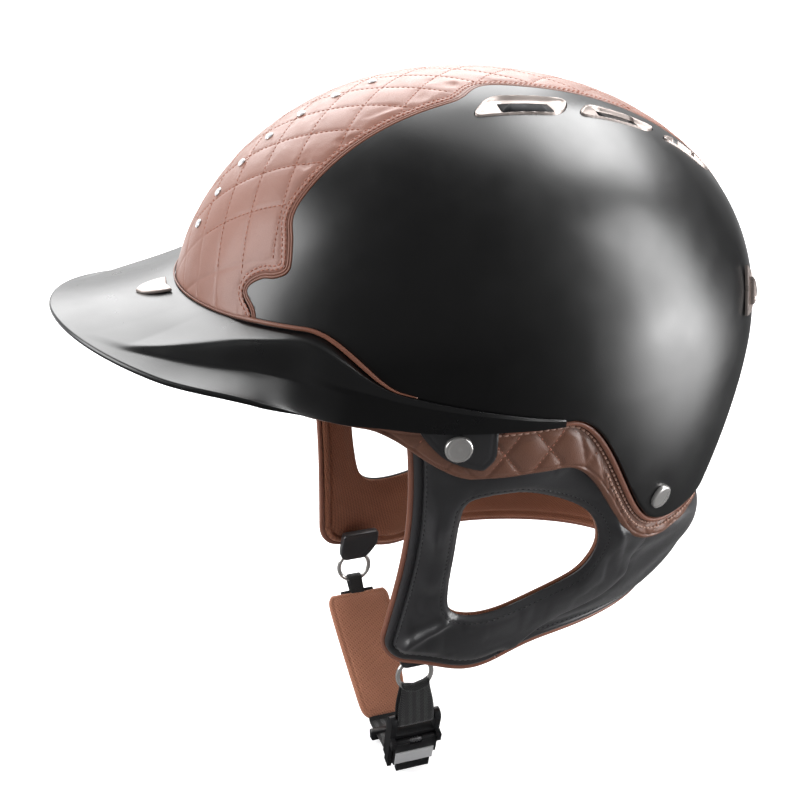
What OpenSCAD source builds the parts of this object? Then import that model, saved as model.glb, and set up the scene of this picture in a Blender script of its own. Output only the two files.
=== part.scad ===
// Riding helmet with a wide front brim, a quilted leather crown panel and a
// leather harness with ear cut-outs, two strap rings and a chin strap.
// Millimetres. +Z up, the brim points to -Y, the wearer's left is +X.
// The origin is the place where the crown of the head meets the crown pad.

/* [Node] */
// sub-part to build, or all of them

/* [Outer shell] */
// half width of the shell at its widest level
half_width = 112; // [105:0.5:120]
// shell length ahead of the crown, at the widest level
front_length = 135.5; // [128:0.5:142]
// shell length behind the crown, at the widest level
rear_length = 159; // [150:0.5:166]
// height of the crown above the widest level
crown_height = 124.5; // [118:0.5:132]
// squareness of the outline seen from above (2 is an ellipse)
plan_power = 2.03; // [1.9:0.01:2.3]
// squareness of the outline seen from the side
profile_power = 2.09; // [1.9:0.01:2.3]
// wall of the shell
shell_wall = 3; // [2.4:0.1:3.6]
// how far the nape is drawn in, as a share of the plan
nape_tuck = 0.137; // [0.08:0.001:0.18]
// how far the sides are drawn in, as a share of the plan
side_tuck = 0.06; // [0.03:0.001:0.09]
// height of the shell rim over the ears, from the widest level
ear_rim = -6; // [-10:0.5:-2]
// height of the shell rim at the brow, behind the brim
brow_rim = 8; // [4:0.5:12]
// height of the shell rim at the nape
nape_rim = -78; // [-84:0.5:-70]
// plan angle at which the rim starts to fall towards the nape
rim_fall_start = 5; // [2:0.5:9]
// plan angle over which the rim falls
rim_fall_span = 15; // [12:0.5:18]

/* [Crown panel] */
// thickness of the leather panel with its backing
panel_thickness = 1.9; // [1.4:0.1:2.2]
// depth of the recess that takes the panel
recess_depth = 2.2; // [2:0.1:2.6]
// radius of the corded edge of the panel
panel_cord_radius = 1.2; // [1:0.05:1.3]
// width of the groove between panel and shell, seen from above
groove_width = 3.2; // [2.9:0.1:3.6]
// height of the panel's front end, where the brim starts
panel_front_level = 34; // [32:0.5:35]
// height of the panel's rear end
panel_rear_level = 44; // [38:1:56]
// diameter of a crystal
crystal_diameter = 4.2; // [3:0.1:5]
// crystals on the centre line
crystal_count = 7; // [3:1:9]
// profile angle of the lowest crystal
crystal_first = 29.1; // [26:0.1:32]
// profile angle between crystals
crystal_step = 7.65; // [6:0.05:8]

/* [Brim] */
// reach of the brim tip ahead of the crown
brim_reach = 188; // [178:1:198]
// height of the brim tip
brim_tip_level = 32; // [26:0.5:36]
// half width of the brim edge at the ears
brim_half_width = 115.2; // [114.4:0.1:117]
// thickness of the brim at its edge
brim_thickness = 2.6; // [2.2:0.1:3.4]
// thickness of the strip that wraps the shell to the ears
strip_thickness = 1.8; // [1.4:0.1:2.2]
// height of the brim where it meets the panel
brim_root_level = 35.5; // [35:0.5:38]
// height of the brim edge at the ears
brim_side_level = -5.5; // [-6:0.1:-4]
// radius of the cord along the brim
brim_cord_radius = 1.3; // [1:0.05:1.6]

/* [Vents] */
// height of a bezel above the shell
bezel_height = 1.3; // [1:0.1:1.8]
// width of the frame left outside a slot
bezel_frame = 2.4; // [2:0.1:3.2]
// width of a front slot
slot_width = 6; // [4:0.1:7]
// thickness of the mesh in the vent openings
screen_thickness = 0.5; // [0.4:0.05:0.7]
// depth of the mesh below the shell's surface
screen_depth = 1; // [0.8:0.1:1.6]

/* [Badges] */
// half width of the shield on the brim
shield_half_width = 9; // [7:0.5:11]
// length of the shield on the brim
shield_length = 15; // [12:0.5:18]
// thickness of the shield
shield_thickness = 1.6; // [1.2:0.1:2.2]
// plan angle of the rear badges
rear_badge_angle = 55.5; // [52:0.5:60]
// height of the rear badges above the widest level
rear_badge_level = 24; // [20:0.5:28]
// half width of a rear badge
rear_badge_half_width = 12; // [9:0.5:14]
// length of a rear badge
rear_badge_length = 15; // [12:0.5:18]
// turn of a rear badge, its tip rearwards
rear_badge_turn = 20; // [0:1:25]
// thickness of a rear badge
rear_badge_thickness = 1.6; // [1.2:0.1:2.4]
// height of its raised middle
rear_badge_relief = 2.2; // [1.4:0.1:2.8]

/* [Liner and head pads] */
// half width of the room inside the impact liner
liner_half_width = 86; // [82:0.5:90]
// room ahead of the crown inside the impact liner
liner_front = 103; // [98:0.5:108]
// room behind the crown inside the impact liner
liner_rear = 120; // [114:0.5:126]
// room above the widest level inside the impact liner
liner_height = 101; // [98:0.5:104]
// thickness of the head pads
pad_thickness = 8; // [6:0.5:10]
// height of the head band
band_height = 34; // [28:1:40]
// half angle of the crown pad, down from the top
crown_pad_angle = 26; // [20:1:32]

/* [Skirt] */
// thickness of the quilted skirt
skirt_thickness = 4; // [3:0.1:5]
// how far the skirt reaches up inside the shell
skirt_tuck_in = 14; // [10:0.5:18]
// how far the skirt hangs below the rim at the ears
skirt_drop_ear = 25; // [20:0.5:30]
// how far the skirt hangs below the rim at the nape
skirt_drop_nape = 12.5; // [9:0.5:16]
// how far the skirt hangs below the rim at the brow
skirt_drop_brow = 4; // [2:0.5:6]
// radius of the welt along the shell rim
welt_radius = 1.2; // [0.9:0.05:1.4]

/* [Harness] */
// thickness of the outer leather
leather_thickness = 2.2; // [1.6:0.1:2.8]
// thickness of the fabric lining with its foam
lining_thickness = 2.6; // [2:0.1:3.4]
// half width of the harness at its lower edge
jaw_half_width = 66; // [60:0.5:72]
// reach of the lower edge ahead of the crown
jaw_front = 118; // [110:1:126]
// reach of the lower edge behind the crown
nape_reach = 120; // [112:1:128]
// height of the lower edge of the harness
harness_bottom = -149; // [-156:0.5:-142]
// extra depth of the flaps at the strap
flap_drop = 9; // [6:0.5:12]
// plan angle of the front edge of the flaps
flap_front_angle = -26; // [-29:0.5:-24]
// plan angle of the seam between flap and neck band
flap_seam_angle = 33; // [31:0.5:36]
// how far the seam sweeps forwards at the lower edge
seam_sweep = 28; // [20:1:30]
// radius of the rounded lower front corner
flap_corner = 12; // [8:0.5:16]
// radius of the cord round the harness edge
edge_cord_radius = 1.5; // [1.2:0.05:1.8]
// how far the neck band bulges out below the skirt
nape_bulge = 9; // [5:0.5:11]
// depth of the folds in the neck band
fold_depth = 1.2; // [0.6:0.1:1.8]

/* [Rivets] */
// diameter of a rivet head
rivet_head = 12; // [9:0.5:13]
// diameter of a rivet shank
rivet_shank = 4; // [3:0.1:5]
// running gap round a shank
rivet_gap = 0.2; // [0.1:0.05:0.3]
// height of a rivet head
rivet_dome = 1.8; // [1.2:0.1:2.4]
// plan angle of the front rivets
front_rivet_angle = -14.5; // [-16.5:0.5:-12.5]
// height of the front rivets
front_rivet_level = -13; // [-14:0.5:-12]
// plan angle of the rear rivets
rear_rivet_angle = 28; // [26:0.5:30]
// height of the rear rivets
rear_rivet_level = -60; // [-62:0.5:-58]

/* [Rings] */
// mean radius of a strap ring
ring_radius = 9; // [8:0.1:10]
// diameter of the ring wire
ring_wire = 2.4; // [2:0.1:2.8]
// height of the ring centres
ring_level = -165; // [-168:0.5:-163]
// distance of the ring centres behind the crown
ring_depth = -34.5; // [-38:0.5:-31]
// distance of a ring centre from the middle
ring_side = 54; // [52:0.5:54.5]
// gap between wire and webbing
wire_gap = 0.3; // [0.2:0.05:0.4]

/* [Chin strap] */
// distance from the far ring to the middle of the buckle
buckle_reach = 109; // [107:0.5:111]
// angle of the buckle below the rings
buckle_fall = 17; // [15.5:0.5:19]
// width of the strap webbing
webbing_width = 20; // [16:0.5:24]
// thickness of the strap webbing
webbing_thickness = 2.2; // [1.6:0.1:2.8]
// width of the chin pad
chin_pad_width = 37; // [32:0.5:42]
// width of the chin pad at its lower end
chin_pad_low_width = 26; // [24:0.5:30]
// thickness of the chin pad
chin_pad_thickness = 7; // [5:0.5:9]
// length of the chin pad
chin_pad_length = 72; // [64:1:78]
// fall of the chin pad below level
chin_pad_slope = 42; // [40:0.5:45]
// width of the buckle
buckle_width = 27; // [25:0.5:30]
// length of the buckle
buckle_length = 30; // [28:0.5:34]
// thickness of the buckle body
buckle_thickness = 7; // [6.4:0.1:9]
// width of the toothed plug
plug_width = 17; // [14:0.5:18]
// thickness of the toothed plug
plug_thickness = 2.4; // [2:0.1:3]
// length of the plug inside the buckle
plug_length = 18; // [14:0.5:22]
// gap round the plug in its channel
plug_gap = 0.5; // [0.3:0.05:0.6]
// pitch of the plug's teeth
tooth_pitch = 2; // [1.6:0.1:2.6]
// height of the plug's teeth
tooth_height = 0.6; // [0.4:0.05:0.8]
// diameter of the lever pin
lever_pin_diameter = 2; // [1.6:0.1:2.4]
// running gap of the lever on its pin
pin_gap = 0.05; // [0.02:0.01:0.1]
// thickness of the lever
lever_thickness = 2.4; // [2:0.1:3]

/* [Hidden] */

// clearance between neighbouring layers, and what facets that don't line up need besides
gap = 0.3;
facet_room = 0.2;
// more than enough to cut right through
through = 400;
// circle resolution of the exact round pieces
$fn = 48;
// height over which the tuck below the widest level is complete
tuck_depth = 92;
// how the tuck grows with depth, and the share of the depth at which it ends
tuck_power = 1.7;
tuck_end = 0.86;
front_tuck = 0.02;
// profile angle of the last full ring under the crown
last_ring = 84;
// rings between rim and crown, and how many of them lie below the knee
shell_rings = 12;
low_rings = 3;
// fall of the liner's crown to the head: where the origin sits
head_top = liner_height - pad_thickness;

// plan angles of the columns: wide in front and behind, close where the rim falls
front_steps = 11;
fall_steps = 11;
rear_steps = 8;
fall_end = 38;
half_columns = concat(
    [for (i = [0:front_steps - 1]) -90 + i*90/front_steps],
    [for (i = [0:fall_steps - 1]) i*fall_end/fall_steps],
    [for (i = [0:rear_steps]) fall_end + i*(90 - fall_end)/rear_steps]);
columns = concat(half_columns,
    [for (i = [len(half_columns) - 2:-1:1]) 180 - half_columns[i]]);

// small helpers
function signed_power(v, e) = sign(v)*pow(abs(v), e);
function mix(a, b, t) = a + (b - a)*t;
function ramp(x, x0, x1) = let (t = min(1, max(0, (x - x0)/(x1 - x0)))) t*t*(3 - 2*t);
function unit(v) = v/norm(v);
// plan angle folded to the right half: -90 in front, 90 behind
function fold(a) = let (c = (a + 90) % 360, d = c < 0 ? c + 360 : c)
    d <= 180 ? d - 90 : 270 - d;

// dome sizes: half width, length in front, length behind, height
shell_size = [half_width, front_length, rear_length, crown_height];
function grown(off) = [for (v = shell_size) v + off];
liner_size = [liner_half_width, liner_front, liner_rear, liner_height];
pad_size = [for (v = liner_size) v - pad_thickness];

// outline seen from above
function outline(a, size) =
    [size[0]*signed_power(cos(a), 2/plan_power),
     (sin(a) < 0 ? size[1] : size[2])*signed_power(sin(a), 2/plan_power)];
function tuck(a, z) = let (s = abs(sin(a)),
        amount = (sin(a) < 0 ? front_tuck : nape_tuck)*s + side_tuck*(1 - s))
    1 - amount*pow(min(-z/tuck_depth, tuck_end), tuck_power);
// point of the dome at a profile angle (0 at the widest level, 90 at the crown)
function dome(a, p, size) = let (o = outline(a, size),
        k = p >= 0 ? pow(cos(p), 2/profile_power) : tuck(a, p*tuck_depth/90),
        z = p >= 0 ? size[3]*pow(sin(p), 2/profile_power) : p*tuck_depth/90)
    [o[0]*k, o[1]*k, z];
function profile_angle(z, size) = z < 0 ? z*90/tuck_depth
    : asin(pow(min(1, z/size[3]), profile_power/2));
function dome_at(a, z, size) = dome(a, profile_angle(z, size), size);
// height of the dome over a plan point
function dome_height(x, y, size) = let (l = y < 0 ? size[1] : size[2],
        r = pow(pow(abs(x)/size[0], plan_power) + pow(abs(y)/l, plan_power), 1/plan_power))
    size[3]*pow(max(0, 1 - pow(r, profile_power)), 1/profile_power);
// how much longer a line on the shell is than its plan, from its slope
function steepness(a, level_at) = let (p = dome_at(a - 0.5, level_at(a - 0.5), shell_size),
        q = dome_at(a + 0.5, level_at(a + 0.5), shell_size), d = q - p)
    sqrt(1 + pow(d[2]/norm([d[0], d[1]]), 2));
// level outward direction of the dome at a plan angle
function outward(a) = let (l = sin(a) < 0 ? front_length : rear_length)
    unit([signed_power(cos(a), 2 - 2/plan_power)/half_width,
          signed_power(sin(a), 2 - 2/plan_power)/l, 0]);
function outward_angle(a) = let (v = outward(a)) atan2(v[1], v[0]);

// height of the shell rim: level at the ears, an S down to the nape
function fall(a) = let (f = fold(a)) f <= rim_fall_start ? 0
    : 1 - exp(-pow((f - rim_fall_start)/rim_fall_span, 2.2));
function rim(a) = let (f = fold(a))
    f < 0 ? mix(ear_rim, brow_rim, pow(sin(-f), 2)) : mix(ear_rim, nape_rim, fall(a));
function skirt_top(a) = rim(a) + skirt_tuck_in;
function skirt_bottom(a) = let (f = fold(a)) rim(a) - (f > 0
    ? mix(skirt_drop_ear, skirt_drop_nape, fall(a))
    : mix(skirt_drop_brow, skirt_drop_ear, ramp(f, -32, -11)));
function liner_rim(a) = skirt_top(a) + 5*gap;

// solids from grids: rows run upwards, columns run with the plan angle
module skin(outer, inner, wrap) {
    rows = len(outer);
    cols = len(outer[0]);
    base = rows*cols;
    last = wrap ? cols - 1 : cols - 2;
    polyhedron(
        points = concat([for (r = outer) each r], [for (r = inner) each r]),
        faces = concat(
            [for (i = [0:rows - 2], j = [0:last]) let (n = (j + 1) % cols,
                a = i*cols + j, b = i*cols + n, c = a + cols, d = b + cols)
                each [[a, c, d], [a, d, b],
                      [base + a, base + d, base + c], [base + a, base + b, base + d]]],
            [for (j = [0:last]) let (n = (j + 1) % cols, t = (rows - 1)*cols)
                each [[j, n, base + n], [j, base + n, base + j],
                      [t + n, t + j, base + t + j], [t + n, base + t + j, base + t + n]]],
            wrap ? [] : [for (i = [0:rows - 2]) let (l = i*cols, r = i*cols + cols - 1)
                each [[l + cols, l, base + l], [l + cols, base + l, base + l + cols],
                      [r, r + cols, base + r + cols], [r, base + r + cols, base + r]]]));
}
// closed dome: the grids end in a crown point each
module bowl(outer, inner, outer_top, inner_top) {
    rows = len(outer);
    cols = len(outer[0]);
    base = rows*cols;
    t = (rows - 1)*cols;
    polyhedron(
        points = concat([for (r = outer) each r], [for (r = inner) each r],
            [outer_top, inner_top]),
        faces = concat(
            [for (i = [0:rows - 2], j = [0:cols - 1]) let (n = (j + 1) % cols,
                a = i*cols + j, b = i*cols + n, c = a + cols, d = b + cols)
                each [[a, c, d], [a, d, b],
                      [base + a, base + d, base + c], [base + a, base + b, base + d]]],
            [for (j = [0:cols - 1]) let (n = (j + 1) % cols)
                each [[j, n, base + n], [j, base + n, base + j],
                      [t + j, 2*base, t + n], [base + t + n, 2*base + 1, base + t + j]]]));
}
// round cord along a path, with the side that each ring starts from
module cord(path, side, radius, sides = 6) {
    n = len(path);
    rings = [for (k = [0:n - 1]) let (
        t = unit(path[min(k + 1, n - 1)] - path[max(k - 1, 0)]),
        u = unit(side[k] - (side[k]*t)*t), v = cross(t, u))
        each [for (s = [0:sides - 1]) path[k]
            + radius*(cos(s*360/sides)*u + sin(s*360/sides)*v)]];
    e = (n - 1)*sides;
    polyhedron(points = rings, faces = concat(
        [for (k = [0:n - 2], s = [0:sides - 1]) let (m = (s + 1) % sides,
            a = k*sides + s, b = k*sides + m)
            each [[a, a + sides, b + sides], [a, b + sides, b]]],
        [for (s = [1:sides - 2]) [0, s, s + 1]],
        [for (s = [1:sides - 2]) [e, e + s + 1, e + s]]));
}
// curve through hand-set points
function curve(p, steps) = concat([for (i = [0:len(p) - 2], k = [0:steps - 1])
    let (a = p[max(i - 1, 0)], b = p[i], c = p[i + 1], d = p[min(i + 2, len(p) - 1)], t = k/steps)
    0.5*(2*b + (c - a)*t + (2*a - 5*b + 4*c - d)*t*t + (3*b - a - 3*c + d)*t*t*t)],
    [p[len(p) - 1]]);
// path moved sideways in the plane, to the left of its direction, with mitred corners
function beside(p, d) = [for (k = [0:len(p) - 1]) let (
    a = unit(p[max(k, 1)] - p[max(k, 1) - 1]), b = unit(p[min(k, len(p) - 2) + 1] - p[min(k, len(p) - 2)]),
    t = unit(a + b)) p[k] + d/max(0.55, t*a)*[-t[1], t[0]]];
function flip(p) = [for (i = [len(p) - 1:-1:0]) p[i]];
module right_side() { mirror([1, 0, 0]) children(); }
// everything is laid out from the widest level and then set on the head
module on_head() { translate([0, 0, -head_top]) children(); }

// dome layer between two offsets, down to a level, for all plan angles
module layer(outer_off, inner_off, low) {
    o = grown(outer_off);
    n = grown(inner_off);
    rings = 10;
    function p(i, s) = let (b = profile_angle(low, s)) b + (last_ring - b)*i/rings;
    bowl([for (i = [0:rings]) [for (a = columns) dome(a, p(i, o), o)]],
         [for (i = [0:rings]) [for (a = columns) dome(a, p(i, n), n)]],
         [0, 0, o[3]], [0, 0, n[3]]);
}
module dome_wall(o, n, low_at) {
    function p(a, i, s) = let (b = profile_angle(low_at(a), s),
            knee = max(0, b + 0.12*(last_ring - b)))
        i < low_rings ? mix(b, knee, i/low_rings)
        : mix(knee, last_ring, (i - low_rings)/(shell_rings - low_rings));
    bowl([for (i = [0:shell_rings]) [for (a = columns) dome(a, p(a, i, o), o)]],
         [for (i = [0:shell_rings]) [for (a = columns) dome(a, p(a, i, n), n)]],
         [0, 0, o[3]], [0, 0, n[3]]);
}

// outline of the panel recess on the left side, from the brim to the rear
panel_edge = curve([[62, -160], [62, -118], [61.5, -108], [53.5, -109.5], [57, -104],
    [62, -99], [65, -93.5], [60, -90.5], [53, -88], [49.5, -79], [46, -60],
    [43, -38], [40, -16], [37, -8], [28, 5], [28.5, 28], [29, 70], [28, 107], [25, 128],
    [24.5, 140], [24, 156], [24, 175]], 3);
panel_plan = concat(panel_edge, flip([for (q = panel_edge) [-q[0], q[1]]]));
// lower limit of the panel: the brim in front, a level end behind
module panel_prism(inset, extra) {
    intersection() {
        linear_extrude(through) offset(delta = -inset) polygon(panel_plan);
        union() {
            translate([-through/2, -through/2, panel_front_level - extra])
                cube([through, through/2, through]);
            translate([-through/2, -1, panel_rear_level - extra])
                cube([through, through/2, through]);
        }
    }
}

// vents, seen from above on the left side: outer front, inner front, inner rear, outer rear
vent_front = [[51, -10], [38, 3], [37, 42], [49, 34]];
vent_mid = [[47.5, 42], [37.5, 51], [36, 87], [43, 80]];
vent_rear = [[42, 88], [35.5, 95], [31, 122], [38, 115]];
// slot: near the outer side of the bezel
function slot(v, w) = let (a = mix(v[0], v[3], 0.38), b = mix(v[0], v[3], 0.95),
        t = unit(b - a), n = [-t[1], t[0]])
    [a + bezel_frame*n, a + (bezel_frame + w)*n, b + (bezel_frame + w)*n - 2*t, b + bezel_frame*n];
function slot_of(v) = slot(v, slot_width*norm(v[1] - v[0])/norm(vent_front[1] - vent_front[0]));
// a plan outline grown outwards from its middle
function bigger(p, d) = let (c = (p[0] + p[1] + p[2] + p[3])/4)
    [for (q = p) q + d*unit(q - c)];
module on_plan(p) { translate([0, 0, 20]) linear_extrude(through) polygon(p); }

// brim: where it meets the shell, and its outer edge
brim_end = 4;
brim_plan_y = 65.7;
brim_edge_powers = [1.9, 3.8];
function strip(a) = ramp(fold(a), -44, -25);
function brim_root(a) = let (f = fold(a)) mix(brim_root_level, -1.8 - 0.57*f, strip(a));
function brim_turn(a) = let (u = (fold(a) + 90)/(brim_end + 90)) 3 + 87*pow(1 - u, 1.6);
function brim_edge(a) = let (e = brim_turn(a), l = brim_plan_y + brim_reach,
        x = brim_half_width*signed_power(cos(e), 2/brim_edge_powers[0]),
        y = brim_plan_y - l*pow(sin(e), 2/brim_edge_powers[1]),
        z = mix(brim_side_level, brim_tip_level, pow((brim_plan_y - y)/l, 2.07)),
        side = cos(a) < 0 ? -1 : 1,
        hug = dome_at(a, z, grown(gap + strip_thickness)))
    mix([side*x, y, z], hug, strip(a));
brim_rows = 7;
function brim_section(a) = let (
        s = strip(a), e = brim_edge(a), root = brim_root(a),
        j = dome_at(a, root, grown(gap + facet_room)),
        low = min(root - 1, mix(root - brim_thickness - 1.2, e[2] + 0.2, s)),
        k = dome_at(a, low, grown(gap + facet_room)),
        m = dome_at(a, mix(root, low, 0.5), grown(gap + facet_room)),
        under = mix(e - [0, 0, brim_thickness], k + 0.4*outward(a), s))
    concat(
        [for (i = [0:brim_rows]) let (v = i/brim_rows,
            h = mix(v, min(1, v/0.3), s),
            g = mix(1 - pow(1 - v, 1.6), max(0, (v - 0.15)/0.85), s))
            [mix(j[0], e[0], h), mix(j[1], e[1], h), mix(j[2], e[2], g)]],
        [for (i = [0:brim_rows - 1]) let (v = 1 - i/brim_rows,
            h = mix(v, min(1, v/0.3), s),
            g = mix(1 - pow(1 - v, 1.6), max(0, (v - 0.15)/0.85), s))
            [mix(k[0], under[0], h), mix(k[1], under[1], h), mix(k[2], under[2], g)]],
        [k, m]);
brim_columns = let (h = [for (i = [0:14]) mix(-90, brim_end, i/14)])
    concat([for (i = [14:-1:1]) -180 - h[i]], h);
// solid through a row of closed sections
module loft(sections) {
    n = len(sections[0]);
    rows = len(sections);
    function centre(s) = [for (c = [0:2]) [for (q = s) q[c]]*[for (q = s) 1]/n];
    e = (rows - 1)*n;
    c = rows*n;
    polyhedron(
        points = concat([for (s = sections) each s], [centre(sections[0]),
            centre(sections[rows - 1])]),
        faces = concat(
            [for (k = [0:rows - 2], i = [0:n - 1]) let (m = (i + 1) % n,
                a = k*n + i, b = k*n + m) each [[a, a + n, b + n], [a, b + n, b]]],
            [for (i = [0:n - 1]) let (m = (i + 1) % n)
                each [[c, i, m], [c + 1, e + m, e + i]]]));
}

// vent patch: a strip of the dome over the slots, laid out in the plan
module vent_patch(top, under) {
    xs = [for (i = [0:4]) mix(55, 28, i/4)];
    ys = [for (i = [0:20]) mix(-16, 126, i/20)];
    skin([for (x = xs) [for (y = ys) [x, y, dome_height(x, y, grown(top))]]],
         [for (x = xs) [for (y = ys) [x, y, dome_height(x, y, grown(under))]]], false);
}
module bezel(v) {
    difference() {
        intersection() {
            vent_patch(gap/2 + bezel_height, gap/2);
            on_plan(v);
        }
        on_plan(slot_of(v));
    }
}
module vent_cuts(extra) {
    for (v = [vent_front, vent_mid, vent_rear]) on_plan(bigger(slot_of(v), extra));
}
module both_sides() {
    children();
    right_side() children();
}

// harness surface: under the skirt it follows the dome, below it runs to the jaw
harness_split = 0.25;
harness_knee = 0.12;
skirt_outside = shell_wall + gap + facet_room;
skirt_inside = skirt_outside + skirt_thickness + gap + facet_room;
function harness_low(a) = let (f = fold(a))
    harness_bottom - flap_drop*exp(-pow((f + 4)/11, 2));
function folds(a, t) = let (f = fold(a))
    fold_depth*ramp(f, flap_seam_angle, flap_seam_angle + 9)*(0.5 + 0.5*cos(15*f))*sin(180*t);
function collar(a, s, off, low) = let (
        size = grown(-skirt_inside - off),
        top = skirt_top(a) - 4, knee = rim(a) - 1, mid = skirt_bottom(a) - 0.5,
        t = max(0, (s - harness_split)/(1 - harness_split)),
        m = dome_at(a, mid, size),
        b = outline(a, [jaw_half_width - off, jaw_front - off, nape_reach - off]),
        q = mix(m, [b[0], b[1], low], t))
    s < harness_knee ? dome_at(a, mix(top, knee, s/harness_knee), size)
        : s <= harness_split ? dome_at(a, mix(knee, mid,
            (s - harness_knee)/(harness_split - harness_knee)), size)
        : q + (nape_bulge*ramp(fold(a), flap_seam_angle - 3, 60)*sin(180*pow(t, 0.6))
            - folds(a, t))*outward(a);
harness_rows = [0, 0.12, 0.25, 0.4, 0.55, 0.7, 0.82, 0.91, 1];
flap_steps = 14;
jaw_degree = jaw_front*PI/180;
function flap_front(s) = flap_front_angle + 4*sin(180*s);
// the seam drops from the skirt and then sweeps forwards along the lower edge
function flap_rear(s) = flap_seam_angle - 3*s - seam_sweep*pow(max(0, (s - 0.55)/0.45), 2.4);
function flap_angle(s, j) = mix(flap_front(s), flap_rear(s), pow(j/flap_steps, 1.5));
function corner_lift(j) = let (
        d = min(flap_corner, (flap_angle(1, j) - flap_front(1))*jaw_degree))
    flap_corner - sqrt(max(0, flap_corner*flap_corner - pow(flap_corner - d, 2)));
function flap_point(s, j, off) = let (a = flap_angle(s, j))
    collar(a, s, off, harness_low(a) + corner_lift(j));
module flap_layer(from, to) {
    skin([for (s = flip(harness_rows)) [for (j = [0:flap_steps]) flap_point(s, j, from)]],
         [for (s = flip(harness_rows)) [for (j = [0:flap_steps]) flap_point(s, j, to)]], false);
}
// ear cut-out seen from the side: depth behind the crown and height
ear_hole = curve([[-27, -60], [-25.5, -48], [-18, -44], [0, -44], [18, -51], [34, -61], [43, -73],
    [47, -88], [43.5, -102], [34, -110], [15, -117], [-4, -121], [-18, -120], [-25, -114],
    [-27, -100], [-27, -80], [-27, -60]], 2);
module ear_cut() {
    translate([20, 0, 0]) rotate([90, 0, 90]) linear_extrude(through) polygon(ear_hole);
}
neck_steps = 24;
function neck_angle(s, j) = let (a = flap_rear(s) + 0.25) mix(a, 180 - a, j/neck_steps);
module neck_layer(from, to) {
    function p(s, j, off) = let (a = neck_angle(s, j)) collar(a, s, off, harness_low(a));
    skin([for (s = flip(harness_rows)) [for (j = [0:neck_steps]) p(s, j, from)]],
         [for (s = flip(harness_rows)) [for (j = [0:neck_steps]) p(s, j, to)]], false);
}
lining_from = leather_thickness + gap;
lining_to = lining_from + lining_thickness;
cord_level = lining_to/2;
// cord beside an edge: pushed out of the edge within the surface
function edge_path(points, angles) = [for (k = [0:len(points) - 1]) let (
        t = unit(points[min(k + 1, len(points) - 1)] - points[max(k - 1, 0)]),
        n = outward(angles[k]))
    points[k] + (edge_cord_radius + gap)*unit(cross(t, n))];
flap_edge_rows = [for (s = harness_rows) if (s > harness_split && s < 1) s];
flap_edge_points = concat([for (s = flap_edge_rows) flap_point(s, 0, cord_level)],
    [for (j = [0:flap_steps]) flap_point(1, j, cord_level)]);
flap_edge_angles = concat([for (s = flap_edge_rows) flap_angle(s, 0)],
    [for (j = [0:flap_steps]) flap_angle(1, j)]);
neck_edge_points = [for (j = [0:neck_steps]) let (a = neck_angle(1, j))
    collar(a, 1, cord_level, harness_low(a))];
neck_edge_angles = [for (j = [0:neck_steps]) neck_angle(1, j)];

// rivets: local frame on the shell, +Z outwards
module at_shell(a, level) {
    p = dome_at(a, level, shell_size);
    below = dome_at(a, level - 1, shell_size);
    lean = atan2(norm([p[0], p[1]]) - norm([below[0], below[1]]), 1);
    translate(p) rotate([0, 90 + lean, outward_angle(a)]) children();
}
module rivet_hole(a, level) {
    at_shell(a, level) translate([0, 0, -through/16])
        cylinder(h = through/8, d = rivet_shank + 2*rivet_gap);
}
module all_rivet_holes() {
    both_sides() {
        rivet_hole(front_rivet_angle, front_rivet_level);
        rivet_hole(rear_rivet_angle, rear_rivet_level);
    }
}
harness_inside = skirt_inside + lining_to;
module rivet(a, level, seat) {
    ball = (rivet_head*rivet_head/4 + rivet_dome*rivet_dome)/(2*rivet_dome);
    at_shell(a, level) {
        translate([0, 0, seat + gap]) intersection() {
            translate([0, 0, rivet_dome - ball]) sphere(ball);
            cylinder(h = 2*rivet_dome, d = rivet_head);
        }
        translate([0, 0, -harness_inside - 1.4]) cylinder(h = harness_inside + 1.4 + seat + gap + 0.2,
            d = rivet_shank);
        translate([0, 0, -harness_inside - 2]) cylinder(h = 1.2, d = 0.8*rivet_head);
    }
}
tab_thickness = shell_wall - 1.2;
tab_outline = [[-50, -1], [-49, -7], [-39, -18.5], [-25, -24.5], [-21, -23], [-18, -19],
    [-17.5, -12], [-17, -1]];
module anchor_tab() {
    cols = [for (i = [0:8]) mix(-26, -7, i/8)];
    function z(a, t) = mix(-30, rim(a) - gap, t);
    difference() {
        intersection() {
            skin([for (t = [0, 0.5, 1]) [for (a = cols)
                    dome_at(a, z(a, t), grown(tab_thickness - shell_wall))]],
                 [for (t = [0, 0.5, 1]) [for (a = cols) dome_at(a, z(a, t), grown(-shell_wall))]],
                 false);
            translate([60, 0, 0]) rotate([90, 0, 90]) linear_extrude(through) polygon(tab_outline);
        }
        rivet_hole(front_rivet_angle, front_rivet_level);
    }
}

// ring and strap frames
module at_ring() { translate([ring_side, ring_depth, ring_level]) children(); }
module ring_body(radius) {
    rotate([0, 90, 0]) rotate_extrude() translate([ring_radius, 0]) circle(radius);
}
tab_half = ring_wire/2 + wire_gap + 1.1;
module ring_tab() {
    difference() {
        at_ring() translate([-tab_half, 0, 0]) rotate([90, 0, 90]) linear_extrude(2*tab_half)
            polygon([[-6, ring_radius + 13], [15, ring_radius + 13], [14, ring_radius + 5],
                [9, ring_radius - 1], [6, ring_radius - 3.2], [-6, ring_radius - 3.2],
                [-8, ring_radius - 1], [-8, ring_radius + 3]]);
        at_ring() ring_body(ring_wire/2 + wire_gap);
    }
}
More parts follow.
